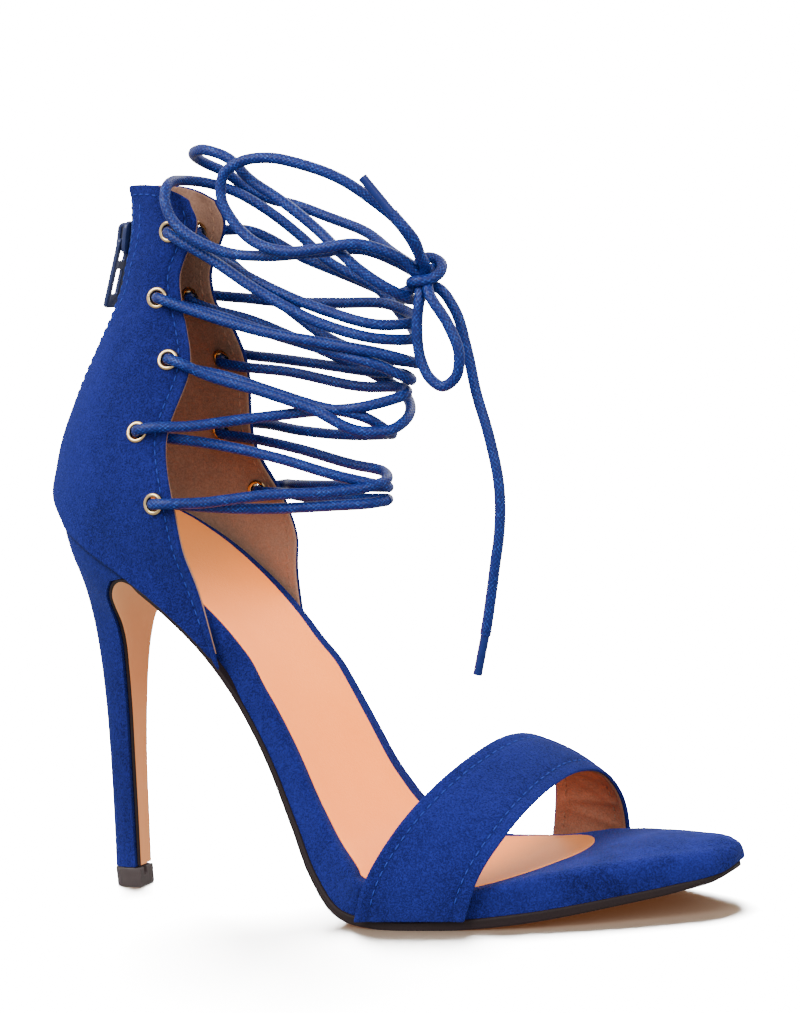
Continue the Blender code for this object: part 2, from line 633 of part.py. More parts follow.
def zip_slot(mat):
    """Cutter for the zip's slit, open at the collar."""
    return zip_strip("zip_slot", ZIP_BOTTOM, ZIP_TOP, ZIP_WIDTH / 2 + GAP, *SLOT_REACH, mat, rise=SLOT_RISE)


def build_quarters(mat):
    side = np.linspace(-1.0, 1.0, 2 * QUARTER_COLUMNS + 1)
    outer = quarter_points(np.linspace(0.0, back_knots()[-1], QUARTER_ROWS), side)
    inner = outer - grid_normals(outer) * WALL
    quarters = wall("quarters", outer, inner, mat)
    add_cutter(quarters, eyelet_holes(mat), "DIFFERENCE")
    add_cutter(quarters, zip_slot(mat), "DIFFERENCE")
    return quarters


def build_eyelets(mat):
    outer = EYELET_FACE[0]
    inner = -WALL - EYELET_FACE[1]
    profile = (
        (EYELET_HOLE / 2, inner - EYELET_LIP), (EYELET_FLANGE / 2, inner - EYELET_LIP),
        (EYELET_FLANGE / 2, inner), (EYELET_BARREL / 2, inner), (EYELET_BARREL / 2, outer),
        (EYELET_FLANGE / 2, outer), (EYELET_FLANGE / 2, outer + EYELET_LIP),
        (EYELET_HOLE / 2, outer + EYELET_LIP))
    for hand, side_name in ((-1, "lateral"), (1, "medial")):
        for number in range(1, 6):
            center, normal = eyelet_seat(number, hand)
            bm = bmesh.new()
            loops = []
            for angle in np.linspace(0.0, 2 * np.pi, EYELET_SIDES, endpoint=False):
                loops.append([
                    bm.verts.new((r * math.cos(angle) * MM, r * math.sin(angle) * MM, h * MM))
                    for r, h in profile])
            for a, b in zip(loops, loops[1:] + loops[:1]):
                for i in range(len(profile)):
                    j = (i + 1) % len(profile)
                    bm.faces.new((a[i], a[j], b[j], b[i]))
            bmesh.ops.recalc_face_normals(bm, faces=bm.faces)
            bm.transform(seat_frame(center, normal))
            name = f"eyelet_{side_name}_{number}"
            mesh = bpy.data.meshes.new(name)
            bm.to_mesh(mesh)
            bm.free()
            add_object(name, mesh, mat)


def block(name, frame, low, high, mat):
    """Box between two corners of a local frame: first axis along, second across, third out."""
    point, along, across, out = frame
    rings = []
    for a in (low[0], high[0]):
        ring = []
        for b, c in ((low[1], low[2]), (high[1], low[2]), (high[1], high[2]), (low[1], high[2])):
            ring.append(point + along * a + across * b + out * c)
        rings.append(ring)
    return loft(name, rings, mat)


def slider_frame():
    point, tangent, normal = back_line(SLIDER_HEIGHT)
    return point, tangent, np.array((0.0, 1.0, 0.0)), normal


def pull_pivot():
    """Middle of the pull's cross-bar."""
    point, tangent, across, normal = slider_frame()
    return point - tangent * PIVOT_DOWN + normal * (GAP + SLIDER_PLATE + ARCH_CLEAR / 2)


def build_zip(tape, metal):
    zip_strip("zip_chain", ZIP_BOTTOM + GAP, ZIP_TOP, ZIP_WIDTH / 2, -ZIP_SUNK - ZIP_THICK, -ZIP_SUNK, tape)
    frame = slider_frame()
    plate = GAP + SLIDER_PLATE
    half = SLIDER_LENGTH / 2
    slider = block(
        "zip_slider", frame, (-half, -SLIDER_WIDTH / 2, GAP), (half, SLIDER_WIDTH / 2, plate), metal)
    reach = ARCH_LENGTH / 2
    roof = plate + ARCH_CLEAR
    arch = block(
        "slider_arch", frame, (-reach, -ARCH_WIDTH / 2, plate - 0.5),
        (reach, ARCH_WIDTH / 2, roof + ARCH_THICK), metal)
    inside = reach - ARCH_THICK
    room = block("slider_room", frame, (-inside, -ARCH_WIDTH, plate), (inside, ARCH_WIDTH, roof), metal)
    add_cutter(slider, arch, "UNION")
    add_cutter(slider, room, "DIFFERENCE")
    lean = math.radians(PULL_LEAN)
    down = np.array((-math.sin(lean), 0.0, -math.cos(lean)))
    out = np.array((-math.cos(lean), 0.0, math.sin(lean)))
    hang = (pull_pivot(), down, np.array((0.0, 1.0, 0.0)), out)
    bar = PULL_THICK / 2
    pull = block(
        "zip_pull", hang, (-bar, -PULL_WIDTH / 2, -bar), (PULL_LENGTH, PULL_WIDTH / 2, bar), metal)
    for number, (low, high, half) in enumerate(PULL_WINDOWS, 1):
        window = block(
            f"pull_window_{number}", hang, (low, -half, -PULL_THICK), (high, half, PULL_THICK), metal)
        add_cutter(pull, window, "DIFFERENCE")


def strap_grid(across, along):
    rows = np.array(STRAP)
    knots = lengths((rows[:, :3] + rows[:, 3:]) / 2)
    at = np.linspace(0.0, knots[-1], across)
    edges = spline(knots, rows, at)
    grid = np.empty((along, across, 3))
    for i, f in enumerate(np.linspace(0.0, 1.0, along)):
        grid[i] = edges[:, :3] * (1 - f) + edges[:, 3:] * f
    normal = grid_normals(grid)
    for i, f in enumerate(np.linspace(0.0, 1.0, along)):
        rise = np.sin(np.pi * np.linspace(0.0, 1.0, across)) ** 0.5
        grid[i] += normal[i] * (STRAP_CROWN * 4 * f * (1 - f) * rise)[:, None]
    return grid


def build_strap(mat):
    outer = strap_grid(26, 7)
    normal = grid_normals(outer)
    inner = outer - normal * STRAP_WALL
    return wall("toe_strap", outer, inner, mat)


def lace_leave(number, hand, face, towards):
    """Where a strand leaves an eyelet: a point on its flange and one past the quarter's edge."""
    center, normal = eyelet_seat(number, hand)
    rest = EYELET_LIP + GAP + LACE / 2
    if face == "out":
        start = center + normal * (EYELET_FACE[0] + rest)
    else:
        start = center - normal * (WALL + EYELET_FACE[1] + rest)
    way = np.array(towards) - start
    way -= normal * (way @ normal)
    return start, start + way * LACE_LEAVE / np.linalg.norm(way)


def lace_path(points, step):
    """Evenly spaced points on a smooth curve through the given ones."""
    points = np.array(points, float)
    knots = lengths(points)
    fine = spline(knots, points, np.linspace(0.0, knots[-1], 40 * len(points)))
    run = lengths(fine)
    count = max(2, int(round(run[-1] / step)) + 1)
    even = np.linspace(0.0, run[-1], count)
    return np.column_stack([np.interp(even, run, fine[:, k]) for k in range(3)])


def tube(name, path, diameter, sides, mat):
    """Solid round bar along a path, its sides carried along without twist."""
    path = np.asarray(path, float)
    tangent = np.gradient(path, axis=0)
    tangent /= np.linalg.norm(tangent, axis=1, keepdims=True)
    side = np.cross(tangent[0], (0.0, 0.3, 1.0))
    rings = []
    for point, ahead in zip(path, tangent):
        side = side - ahead * (side @ ahead)
        side /= np.linalg.norm(side)
        other = np.cross(ahead, side)
        rings.append([
            point + (side * math.cos(a) + other * math.sin(a)) * diameter / 2
            for a in np.linspace(0.0, 2 * np.pi, sides, endpoint=False)])
    return loft(name, rings, mat)


def cord(name, points, mat):
    """Free cord: a bevelled curve with filled ends."""
    path = lace_path(points, 2.2 * LACE)
    curve = bpy.data.curves.new(name, "CURVE")
    curve.dimensions = "3D"
    curve.bevel_depth = LACE / 2 * MM
    curve.bevel_resolution = 2
    curve.use_fill_caps = True
    line = curve.splines.new("POLY")
    line.points.add(len(path) - 1)
    for vertex, point in zip(line.points, path):
        vertex.co = (*(Vector(point) * MM), 1.0)
    obj = bpy.data.objects.new(name, curve)
    bpy.context.scene.collection.objects.link(obj)
    curve.materials.append(mat)
    return obj


def build_lace(mat, tip):
    for name, strands in CROSSINGS.items():
        first = None
        for (outer, outer_face), (inner, inner_face), points in strands:
            start = lace_leave(outer, -1, outer_face, points[0])
            end = lace_leave(inner, 1, inner_face, points[-1])
            path = lace_path((*start, *points, *reversed(end)), LACE_STEP)
            label = name if first is None else name + "_partner"
            strand = tube(label, path, LACE, 6, mat)
            if first is None:
                first = strand
            else:
                add_cutter(first, strand, "UNION")
    for name, hand, points in (("lace_turn_outer", -1, TURN_OUTER), ("lace_turn_inner", 1, TURN_INNER)):
        path = lace_path((*lace_leave(1, hand, "out", points[0]), *points), LACE_STEP)
        tube(name, path, LACE, 6, mat)
    bm = bmesh.new()
    bmesh.ops.create_uvsphere(
        bm, u_segments=12, v_segments=8, radius=KNOT_RADIUS * MM,
        matrix=Matrix.Translation(Vector(KNOT) * MM))
    mesh = bpy.data.meshes.new("lace_knot")
    bm.to_mesh(mesh)
    bm.free()
    add_object("lace_knot", mesh, mat)
    cord("lace_loop_big", LOOP_BIG, mat)
    cord("lace_loop_small", LOOP_SMALL, mat)
    cord("lace_end_short", END_SHORT, mat)
    cord("lace_end_long", END_LONG, mat)
    tube("aglet_short", AGLET_SHORT, AGLET, 10, tip)
    tube("aglet_long", AGLET_LONG, AGLET, 10, tip)


clear_scene()
SUEDE = material("suede", (0.010, 0.040, 0.330), 0.9)
SOLE = material("outsole", (0.62, 0.36, 0.22), 0.55)
RUBBER = material("heel_tip", (0.06, 0.045, 0.04), 0.6)
SOCK = material("sock", (0.78, 0.46, 0.29), 0.45)
BRASS = material("eyelet", (0.80, 0.72, 0.52), 0.25, 1.0)
TAPE = material("zip_tape", (0.012, 0.030, 0.200), 0.7)
PAINTED = material("painted_metal", (0.020, 0.030, 0.090), 0.35)
CORD = material("waxed_cord", (0.015, 0.055, 0.330), 0.5)
TIP = material("aglet", (0.010, 0.020, 0.110), 0.25)

build_outsole(SOLE)
build_heel(SUEDE)
build_heel_tip(RUBBER)
build_footbed(SUEDE)
build_sock(SOCK)
build_quarters(SUEDE)
build_strap(SUEDE)
build_eyelets(BRASS)
build_zip(TAPE, PAINTED)
build_lace(CORD, TIP)
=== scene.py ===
"""Open-toe lace-up stiletto sandal, right foot: its looks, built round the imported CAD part.

+X points to the toe, +Y to the inner side, +Z up. Tables and sizes are in millimetres.
"""
import math

import bmesh
import bpy
import numpy as np
from mathutils import Matrix, Vector


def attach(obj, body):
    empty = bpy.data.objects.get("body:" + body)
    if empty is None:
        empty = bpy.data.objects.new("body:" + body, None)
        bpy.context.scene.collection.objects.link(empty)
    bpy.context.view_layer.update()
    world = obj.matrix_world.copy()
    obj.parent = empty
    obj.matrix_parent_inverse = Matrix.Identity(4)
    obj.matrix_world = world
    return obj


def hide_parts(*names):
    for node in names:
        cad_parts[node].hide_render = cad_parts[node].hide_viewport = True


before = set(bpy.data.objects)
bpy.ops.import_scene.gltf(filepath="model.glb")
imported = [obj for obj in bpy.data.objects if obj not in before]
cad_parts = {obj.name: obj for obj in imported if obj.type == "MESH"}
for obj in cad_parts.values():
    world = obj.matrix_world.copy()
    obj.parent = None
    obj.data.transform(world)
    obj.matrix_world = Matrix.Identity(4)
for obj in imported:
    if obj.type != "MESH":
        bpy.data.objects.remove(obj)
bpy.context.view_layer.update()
MM = 0.001

# Studio. The sandal stands on a white table in front of white paper, under broad soft light.
# The camera looks at its outer side from a little in front and above, turned slightly.
VIEW_AZIMUTH, VIEW_ELEVATION, VIEW_ROLL = np.radians((27.18, 4.38, -5.0))
VIEW_TARGET = np.array((-10.4, 0.0, 111.0))
VIEW_DISTANCE = 682.8
VIEW_LENS = 86.42

view_back = np.array((
    math.sin(VIEW_AZIMUTH) * math.cos(VIEW_ELEVATION),
    -math.cos(VIEW_AZIMUTH) * math.cos(VIEW_ELEVATION),
    math.sin(VIEW_ELEVATION)))
level_right = np.array((math.cos(VIEW_AZIMUTH), math.sin(VIEW_AZIMUTH), 0.0))
level_up = np.cross(view_back, level_right)
view_right = level_right * math.cos(VIEW_ROLL) + level_up * math.sin(VIEW_ROLL)
view_up = level_up * math.cos(VIEW_ROLL) - level_right * math.sin(VIEW_ROLL)
view_place = VIEW_TARGET + view_back * VIEW_DISTANCE

camera = bpy.data.objects.new("camera", bpy.data.cameras.new("camera"))
camera.data.lens = VIEW_LENS
camera.data.sensor_width = 36.0
camera.data.clip_start = 0.01
camera.matrix_world = Matrix((
    (view_right[0], view_up[0], view_back[0], view_place[0] * MM),
    (view_right[1], view_up[1], view_back[1], view_place[1] * MM),
    (view_right[2], view_up[2], view_back[2], view_place[2] * MM),
    (0.0, 0.0, 0.0, 1.0)))
bpy.context.scene.collection.objects.link(camera)
bpy.context.scene.camera = camera


class Tone:
    """A shader value with arithmetic: each operation adds one Math node to its finish."""

    def __init__(self, finish, socket):
        self.finish = finish
        self.socket = socket

    def math(self, operation, first, second=0.0):
        return self.finish.node("ShaderNodeMath", {"operation": operation}, {0: first, 1: second})

    def __add__(self, other):
        return self.math("ADD", self, other)

    __radd__ = __add__

    def __sub__(self, other):
        return self.math("SUBTRACT", self, other)

    def __rsub__(self, other):
        return self.math("SUBTRACT", other, self)

    def __mul__(self, other):
        return self.math("MULTIPLY", self, other)

    __rmul__ = __mul__

    def __abs__(self):
        return self.math("ABSOLUTE", self)

    def sine(self):
        return self.math("SINE", self)

    def ramp(self, low, high):
        """0 below low, 1 above high, smooth between them; high may lie below low."""
        return self.finish.node(
            "ShaderNodeMapRange", {"interpolation_type": "SMOOTHSTEP"},
            {"Value": self, "From Min": low, "From Max": high})


class Wiring:
    """A node tree with short ways to add nodes to it."""

    def __init__(self, tree):
        self.tree = tree

    def feed(self, node, key, value):
        if isinstance(value, Tone):
            self.tree.links.new(value.socket, node.inputs[key])
        else:
            node.inputs[key].default_value = value

    def node(self, kind, settings, sockets, out=0):
        """Adds a node of the given type: settings first, then its sockets, then one output."""
        made = self.tree.nodes.new(kind)
        for key, value in settings.items():
            setattr(made, key, value)
        for key, value in sockets.items():
            self.feed(made, key, value)
        return Tone(self, made.outputs[out])


class Finish(Wiring):
    """One procedural material of the sandal."""

    def __init__(self, name, roughness, metallic=0.0, **constants):
        self.material = bpy.data.materials.new(name)
        self.material.use_nodes = True
        super().__init__(self.material.node_tree)
        self.shader = self.tree.nodes["Principled BSDF"]
        self.shader.inputs["Metallic"].default_value = metallic
        for socket, value in constants.items():
            self.shader.inputs[socket.replace("_", " ")].default_value = value
        self.feed(self.shader, "Roughness", roughness)

    def place(self, stretch=(1.0, 1.0, 1.0)):
        """Object coordinates in millimetres."""
        spot = self.node("ShaderNodeTexCoord", {}, {}, "Object")
        scale = tuple(1000.0 * s for s in stretch)
        return self.node("ShaderNodeVectorMath", {"operation": "MULTIPLY"}, {0: spot, 1: scale})

    def axis(self, k):
        """One object coordinate in millimetres."""
        return self.node("ShaderNodeSeparateXYZ", {}, {"Vector": self.place()}, k)

    def noise(self, size, detail=2.0, roughness=0.5, stretch=(1.0, 1.0, 1.0)):
        """Noise whose blots are about size millimetres across."""
        return self.node(
            "ShaderNodeTexNoise", {},
            {"Vector": self.place(stretch), "Scale": 1.0 / size, "Detail": detail, "Roughness": roughness})

    def cells(self, size):
        """Distance from the middles of cells that are about size millimetres across."""
        return self.node(
            "ShaderNodeTexVoronoi", {}, {"Vector": self.place(), "Scale": 1.0 / size}, "Distance")

    def weave(self, axis):
        """One axis of the piece's own UV map: 0 runs along it and 1 runs round it."""
        flat = self.node("ShaderNodeUVMap", {"uv_map": "UVMap"}, {})
        return self.node("ShaderNodeSeparateXYZ", {}, {"Vector": flat}, axis)

    def mark(self, name):
        """A number painted on the piece's points."""
        return self.node("ShaderNodeAttribute", {"attribute_name": name}, {}, "Fac")

    def tint(self, amount, first, second):
        """Colour between two others."""
        if not isinstance(first, Tone):
            first = (*first, 1.0)
        if not isinstance(second, Tone):
            second = (*second, 1.0)
        return self.node("ShaderNodeMix", {"data_type": "RGBA"}, {0: amount, 6: first, 7: second}, 2)

    def color(self, value):
        if not isinstance(value, Tone):
            value = (*value, 1.0)
        self.feed(self.shader, "Base Color", value)

    def mottle(self, size, detail, first, second):
        """Blots of two colours, about size millimetres across."""
        self.color(self.tint(self.noise(size, detail), first, second))

    def relief(self, height, depth):
        """Bump of the given depth in millimetres where height goes from 0 to 1."""
        bump = self.node("ShaderNodeBump", {}, {"Height": height, "Distance": depth * MM})
        self.feed(self.shader, "Normal", bump)


SKY_LOW, SKY_HIGH = 0.70, 1.60
SKY_COLOR = (1.0, 0.985, 0.97, 1.0)
PAPER_WHITE, PAPER_RADIUS = 20.0, 6.0
world = bpy.data.worlds.new("soft_room")
world.use_nodes = True
bpy.context.scene.world = world
room = Wiring(world.node_tree)
looking = room.node("ShaderNodeTexCoord", {}, {}, "Generated")
looking_up = room.node("ShaderNodeSeparateXYZ", {}, {"Vector": looking}, 2)
room.feed(
    room.tree.nodes["Background"], "Strength", looking_up.ramp(-0.6, 0.5) * (SKY_HIGH - SKY_LOW) + SKY_LOW)
room.tree.nodes["Background"].inputs["Color"].default_value = SKY_COLOR


def staged(name, bm, finish):
    """Puts a piece of the studio on the stage, where it sends no light back to the sandal."""
    piece = bpy.data.objects.new(name, bpy.data.meshes.new(name))
    bm.to_mesh(piece.data)
    bm.free()
    piece.data.materials.append(finish.material)
    bpy.context.scene.collection.objects.link(piece)
    piece.visible_diffuse = False
    piece.visible_glossy = False
    return piece


white_paper = Finish("white_paper", 1.0, Emission_Strength=PAPER_WHITE, Specular_IOR_Level=0.0)
white_paper.color((0.0, 0.0, 0.0))
white_paper.feed(white_paper.shader, "Emission Color", (1.0, 1.0, 1.0, 1.0))
paper_bm = bmesh.new()
bmesh.ops.create_icosphere(paper_bm, subdivisions=3, radius=PAPER_RADIUS)
paper = staged("backdrop", paper_bm, white_paper)
paper.visible_shadow = False

TABLE_COLOR = (0.200, 0.148, 0.108)
TABLE_LIGHT = (0.54, 0.73, 1.0)
TABLE_HALF, TABLE_FADE = 0.7, (520.0, 230.0)
table_paper = Finish("table_paper", 0.9, Specular_IOR_Level=0.0)
table_paper.color(TABLE_COLOR)
from_shoe = table_paper.node(
    "ShaderNodeVectorMath", {"operation": "LENGTH"}, {0: table_paper.place((1.0, 1.0, 0.0))}, "Value")
table_paper.feed(table_paper.shader, "Alpha", from_shoe.ramp(*TABLE_FADE))
table_bm = bmesh.new()
bmesh.ops.create_grid(table_bm, x_segments=8, y_segments=8, size=TABLE_HALF)
table = staged("table", table_bm, table_paper)
only_table = bpy.data.collections.new("only_table")
only_table.objects.link(table)
only_sock = bpy.data.collections.new("only_sock")

DAYLIGHT, WARM_LIGHT = (1.0, 1.0, 1.0), (1.0, 0.70, 0.42)
LIGHT_AIM = Vector((0.0, 0.0, 0.1))
SOFT_BOXES = (
    # name, place in metres, size, power, colour, what it falls on, what casts shadows in it
    ("box_key", (-0.9, -1.5, 1.5), 1.2, 56.0, DAYLIGHT, None, None),
    ("box_front", (1.4, -1.2, 0.9), 1.0, 22.0, DAYLIGHT, None, None),
    ("box_back", (0.3, 1.6, 1.4), 1.2, 20.0, DAYLIGHT, None, None),
    ("box_table", (-0.7, 1.0, 1.6), 1.3, 16500.0, TABLE_LIGHT, only_table, None),
    ("box_sock", (1.2, -0.7, 0.8), 0.6, 60.0, WARM_LIGHT, only_sock, only_sock),
)
for light_name, light_place, light_size, light_power, light_color, lit, shading in SOFT_BOXES:
    lamp = bpy.data.objects.new(light_name, bpy.data.lights.new(light_name, "AREA"))
    lamp.data.size = light_size
    lamp.data.energy = light_power
    lamp.data.color = light_color
    lamp.location = light_place
    lamp.rotation_euler = (LIGHT_AIM - Vector(light_place)).to_track_quat("-Z", "Y").to_euler()
    if lit:
        lamp.light_linking.receiver_collection = lit
    if shading:
        lamp.light_linking.blocker_collection = shading
    bpy.context.scene.collection.objects.link(lamp)


# Outsole. A thin resin sole, cut to the outline of the footbed, that runs from the toe over the ball
# and the arch and on down the front of the heel. Its cut edge is stained dark, its face is nude.
FEATHER = np.array((
    # x       z      outer  inner
    (80.8, 11.0, 2.4, 3.0),
    (79.9, 10.75, 5.8, 5.6),
    (76.8, 10.1, 10.6, 9.6),
    (70.0, 9.15, 15.4, 13.6),
    (57.0, 7.4, 22.4, 19.8),
    (33.0, 4.4, 32.5, 30.0),
    (10.0, 2.6, 37.0, 36.0),
    (-9.0, 2.6, 38.5, 36.0),
    (-21.4, 5.0, 36.8, 34.2),
    (-29.2, 12.6, 33.2, 31.2),
    (-36.4, 26.0, 29.2, 28.8),
    (-44.8, 45.0, 26.6, 27.0),
    (-54.7, 63.5, 25.8, 26.6),
    (-63.3, 75.5, 26.2, 26.6),
    (-74.0, 86.6, 27.2, 27.0),
    (-88.0, 97.8, 27.4, 27.2),
    (-103.0, 107.2, 24.4, 24.2),
    (-113.5, 112.8, 16.6, 16.6),
    (-119.2, 115.4, 6.6, 6.6),
    (-120.4, 116.0, 0.6, 0.6),
))
BREAST = np.array((
    # x        z      half   thick
    (-85.0, 95.4, 26.4, 1.3),
    (-89.6, 96.6, 25.4, 1.3),
    (-93.6, 95.2, 23.4, 1.25),
    (-97.4, 91.6, 20.0, 1.2),
    (-100.4, 86.8, 14.4, 1.2),
    (-101.9, 82.0, 10.0, 1.2),
    (-102.6, 76.5, 7.6, 1.2),
    (-103.7, 67.0, 5.7, 1.2),
    (-104.6, 57.0, 4.6, 1.2),
    (-106.0, 40.0, 3.7, 1.2),
    (-107.2, 20.0, 3.35, 1.2),
    (-108.0, 6.8, 3.25, 1.2),
))
OUTSOLE_SKIVE = (
    (-80.0, 1.3), (-45.0, 1.7), (-18.0, 2.6), (30.0, 2.8), (66.0, 2.3), (77.0, 1.8), (80.8, 1.0))
OUTSOLE_CORNER = 0.5
SOLE_KNOTS, SOLE_RINGS, BREAST_RINGS, TIP_CROWDING = 60, 120, 90, 1.5
BREAST_LAP, BREAST_STEP = 4.0, 0.8
EDGE_STAIN_NEAR, EDGE_STAIN_FAR = (0.048, 0.062), (0.2645, 0.2505)


def unit(v):
    """Vectors brought to a length of one."""
    return v / np.linalg.norm(v, axis=-1, keepdims=True)


def read_off(table, x):
    """Value of a table of two columns at x."""
    return np.interp(x, *zip(*table))


def run(points):
    """Distance along a line of points."""
    return np.concatenate(([0.0], np.cumsum(np.linalg.norm(np.diff(points, axis=0), axis=1))))


def through(knots, rows, at):
    """Smooth curve through rows of numbers. Rows may hold one curve, or one for each value in at."""
    knots = np.asarray(knots, float)
    rows = np.asarray(rows, float)
    at = np.clip(np.atleast_1d(np.asarray(at, float)), knots[0], knots[-1])
    steps = np.diff(knots)
    shape = (-1,) + (1,) * (rows.ndim - 1)
    slopes = np.diff(rows, axis=0) / steps.reshape(shape)
    near, far = steps[:-1].reshape(shape), steps[1:].reshape(shape)
    tangents = np.concatenate((
        slopes[:1], (slopes[:-1] * far + slopes[1:] * near) / (near + far), slopes[-1:]))
    cell = np.clip(np.searchsorted(knots, at, side="right") - 1, 0, len(steps) - 1)
    pick = (cell, np.arange(len(at))) if rows.ndim == 3 else (cell,)
    after = (cell + 1, *pick[1:])
    width = steps[cell][:, None]
    f = ((at - knots[cell]) / steps[cell])[:, None]
    rise = f * f * (3 - 2 * f)
    return (rows[pick] * (1 - rise) + rows[after] * rise
            + width * tangents[pick] * f * (1 - f) ** 2 - width * tangents[after] * f * f * (1 - f))


FEATHER_RUN = run(FEATHER[:, :2])


def feather(distance):
    """Points, upward normals and half-widths of the line where upper and sole meet."""
    distance = np.asarray(distance, float)
    rows = through(FEATHER_RUN, FEATHER, distance)
    ahead = through(FEATHER_RUN, FEATHER, distance + 0.2)[:, :2]
    behind = through(FEATHER_RUN, FEATHER, distance - 0.2)[:, :2]
    way = unit(ahead - behind)
    return rows[:, :2], np.stack((way[:, 1], -way[:, 0]), axis=1), rows[:, 2], rows[:, 3]


feather_fine = np.linspace(0.0, FEATHER_RUN[-1], 2400)
feather_fine_x = through(FEATHER_RUN, FEATHER, feather_fine)[:, 0]


def feather_at(x):
    """Distance along that line where it passes x."""
    return np.interp(-np.asarray(x, float), -feather_fine_x, feather_fine)


def smooth(low, high, value):
    """0 at low, 1 at high, smooth between them and level outside."""
    f = np.clip((np.asarray(value, float) - low) / (high - low), 0.0, 1.0)
    return f * f * (3 - 2 * f)


def slab(left, right, low, high, corner, flat=1, bend=5):
    """Rounded rectangle, counted from its lower left corner round through the right."""
    corner = min(corner, 0.45 * (right - left), 0.45 * (high - low))
    ring = []
    for cy, ch, start in ((left + corner, low + corner, 180), (right - corner, low + corner, 270),
                          (right - corner, high - corner, 0), (left + corner, high - corner, 90)):
        for angle in np.radians(np.linspace(start, start + 90, bend)):
            ring.append((cy + corner * math.cos(angle), ch + corner * math.sin(angle)))
    ring = np.array(ring)
    filled = []
    for i in range(len(ring)):
        filled.append(ring[i])
        if i % bend == bend - 1:
            for f in np.linspace(0, 1, flat + 1)[1:-1]:
                filled.append(ring[i] * (1 - f) + ring[(i + 1) % len(ring)] * f)
    return np.array(filled)


WELD = 1e-7


def skin(name, rings, finish, capped=True, along=None, marks=None, sharp=60.0):
    """Lays a skin over rings of points in millimetres. Marks are numbers painted on those points."""
    rings = np.asarray(rings, float)
    count, width = rings.shape[:2]
    if along is None:
        along = run(rings.mean(axis=1))
    bm = bmesh.new()
    bmesh.ops.create_grid(bm, x_segments=count - 1, y_segments=width, size=0.5)
    cells = np.array([v.co[:2] for v in bm.verts]) + 0.5
    i = np.rint(cells[:, 0] * (count - 1)).astype(int)
    j = np.rint(cells[:, 1] * width).astype(int)
    layers = {key: bm.verts.layers.float.new(key) for key in (marks or {})}
    for v, a, b in zip(bm.verts, i, j):
        v.co = rings[a, b % width] * MM
        for key, layer in layers.items():
            v[layer] = marks[key][a, b % width]
    flat = bm.loops.layers.uv.new("UVMap")
    for face in bm.faces:
        for loop in face.loops:
            k = loop.vert.index
            loop[flat].uv = (along[i[k]], j[k] / width)
    bmesh.ops.remove_doubles(bm, verts=bm.verts, dist=WELD)
    if capped:
        bmesh.ops.holes_fill(bm, edges=[e for e in bm.edges if e.is_boundary], sides=0)
    bmesh.ops.recalc_face_normals(bm, faces=bm.faces)
    return finished(name, bm, finish, sharp)


def finished(name, bm, finish, sharp=60.0):
    """Turns a bmesh into a smooth-shaded piece with its finish."""
    piece = bpy.data.objects.new(name, bpy.data.meshes.new(name))
    bm.to_mesh(piece.data)
    bm.free()
    piece.data.materials.append(finish.material)
    piece.data.shade_smooth()
    piece.data.set_sharp_from_angle(angle=math.radians(sharp))
    bpy.context.scene.collection.objects.link(piece)
    return piece


def mounted(piece, slot, *nodes, body="shoe"):
    """Fixes a piece to its body, in place of the named CAD nodes."""
    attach(piece, body)
    if nodes:
        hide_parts(*nodes)


resin = Finish("outsole_resin", 0.55, Specular_IOR_Level=0.10)
round_sole = resin.weave(1)
stain = 1.0 - round_sole.ramp(*EDGE_STAIN_NEAR) * round_sole.ramp(*EDGE_STAIN_FAR)
speckle = resin.noise(0.5, 3.0)
# Painted light: from z 62 to 90 up the heel breast the nude face is painted lighter, where the arch above
# shades it.
painted_light_up_breast = resin.axis(2).ramp(62.0, 90.0)
nude = resin.tint(
    resin.noise(18.0, 3.0) * 0.3 + painted_light_up_breast * 0.7, (0.66, 0.250, 0.090), (0.96, 0.510, 0.240))
dark = resin.tint(speckle, (0.009, 0.0055, 0.006), (0.019, 0.012, 0.012))
resin.color(resin.tint(stain, nude, dark))
resin.relief(speckle * 0.4 + resin.noise(1.6, 2.0) * 0.6, 0.05)

breast_start = feather_at(BREAST[0, 0]) - BREAST_LAP
sole_at = breast_start * np.linspace(0.0, 1.0, SOLE_KNOTS) ** TIP_CROWDING
sole_line, _, sole_outer, sole_inner = feather(sole_at)
sole_table = np.vstack((
    np.column_stack((sole_line, sole_outer, sole_inner, read_off(OUTSOLE_SKIVE, sole_line[:, 0]))),
    np.column_stack((BREAST[:, :2], BREAST[:, 2], BREAST[:, 2], BREAST[:, 3]))))
sole_run = run(sole_table[:, :2])
breast_from = sole_run[SOLE_KNOTS - 1]
sole_rows = through(sole_run, sole_table, np.concatenate((
    breast_from * np.linspace(0.0, 1.0, SOLE_RINGS) ** TIP_CROWDING,
    np.linspace(breast_from + BREAST_STEP, sole_run[-1], BREAST_RINGS))))
sole_way = unit(np.gradient(sole_rows[:, :2], axis=0))
outsole_rings = []
for (x, z, outer, inner, deep), (wx, wz) in zip(sole_rows, sole_way):
    section = slab(-outer, inner, -deep, 0.0, OUTSOLE_CORNER, flat=12)
    ring = np.column_stack((x + section[:, 1] * wz, section[:, 0], z - section[:, 1] * wx))
    ring[:, 2] = np.maximum(ring[:, 2], 0.0)
    outsole_rings.append(ring)
outsole = skin("outsole_resin", outsole_rings, resin, sharp=35)
mounted(outsole, "outsole", "outsole")


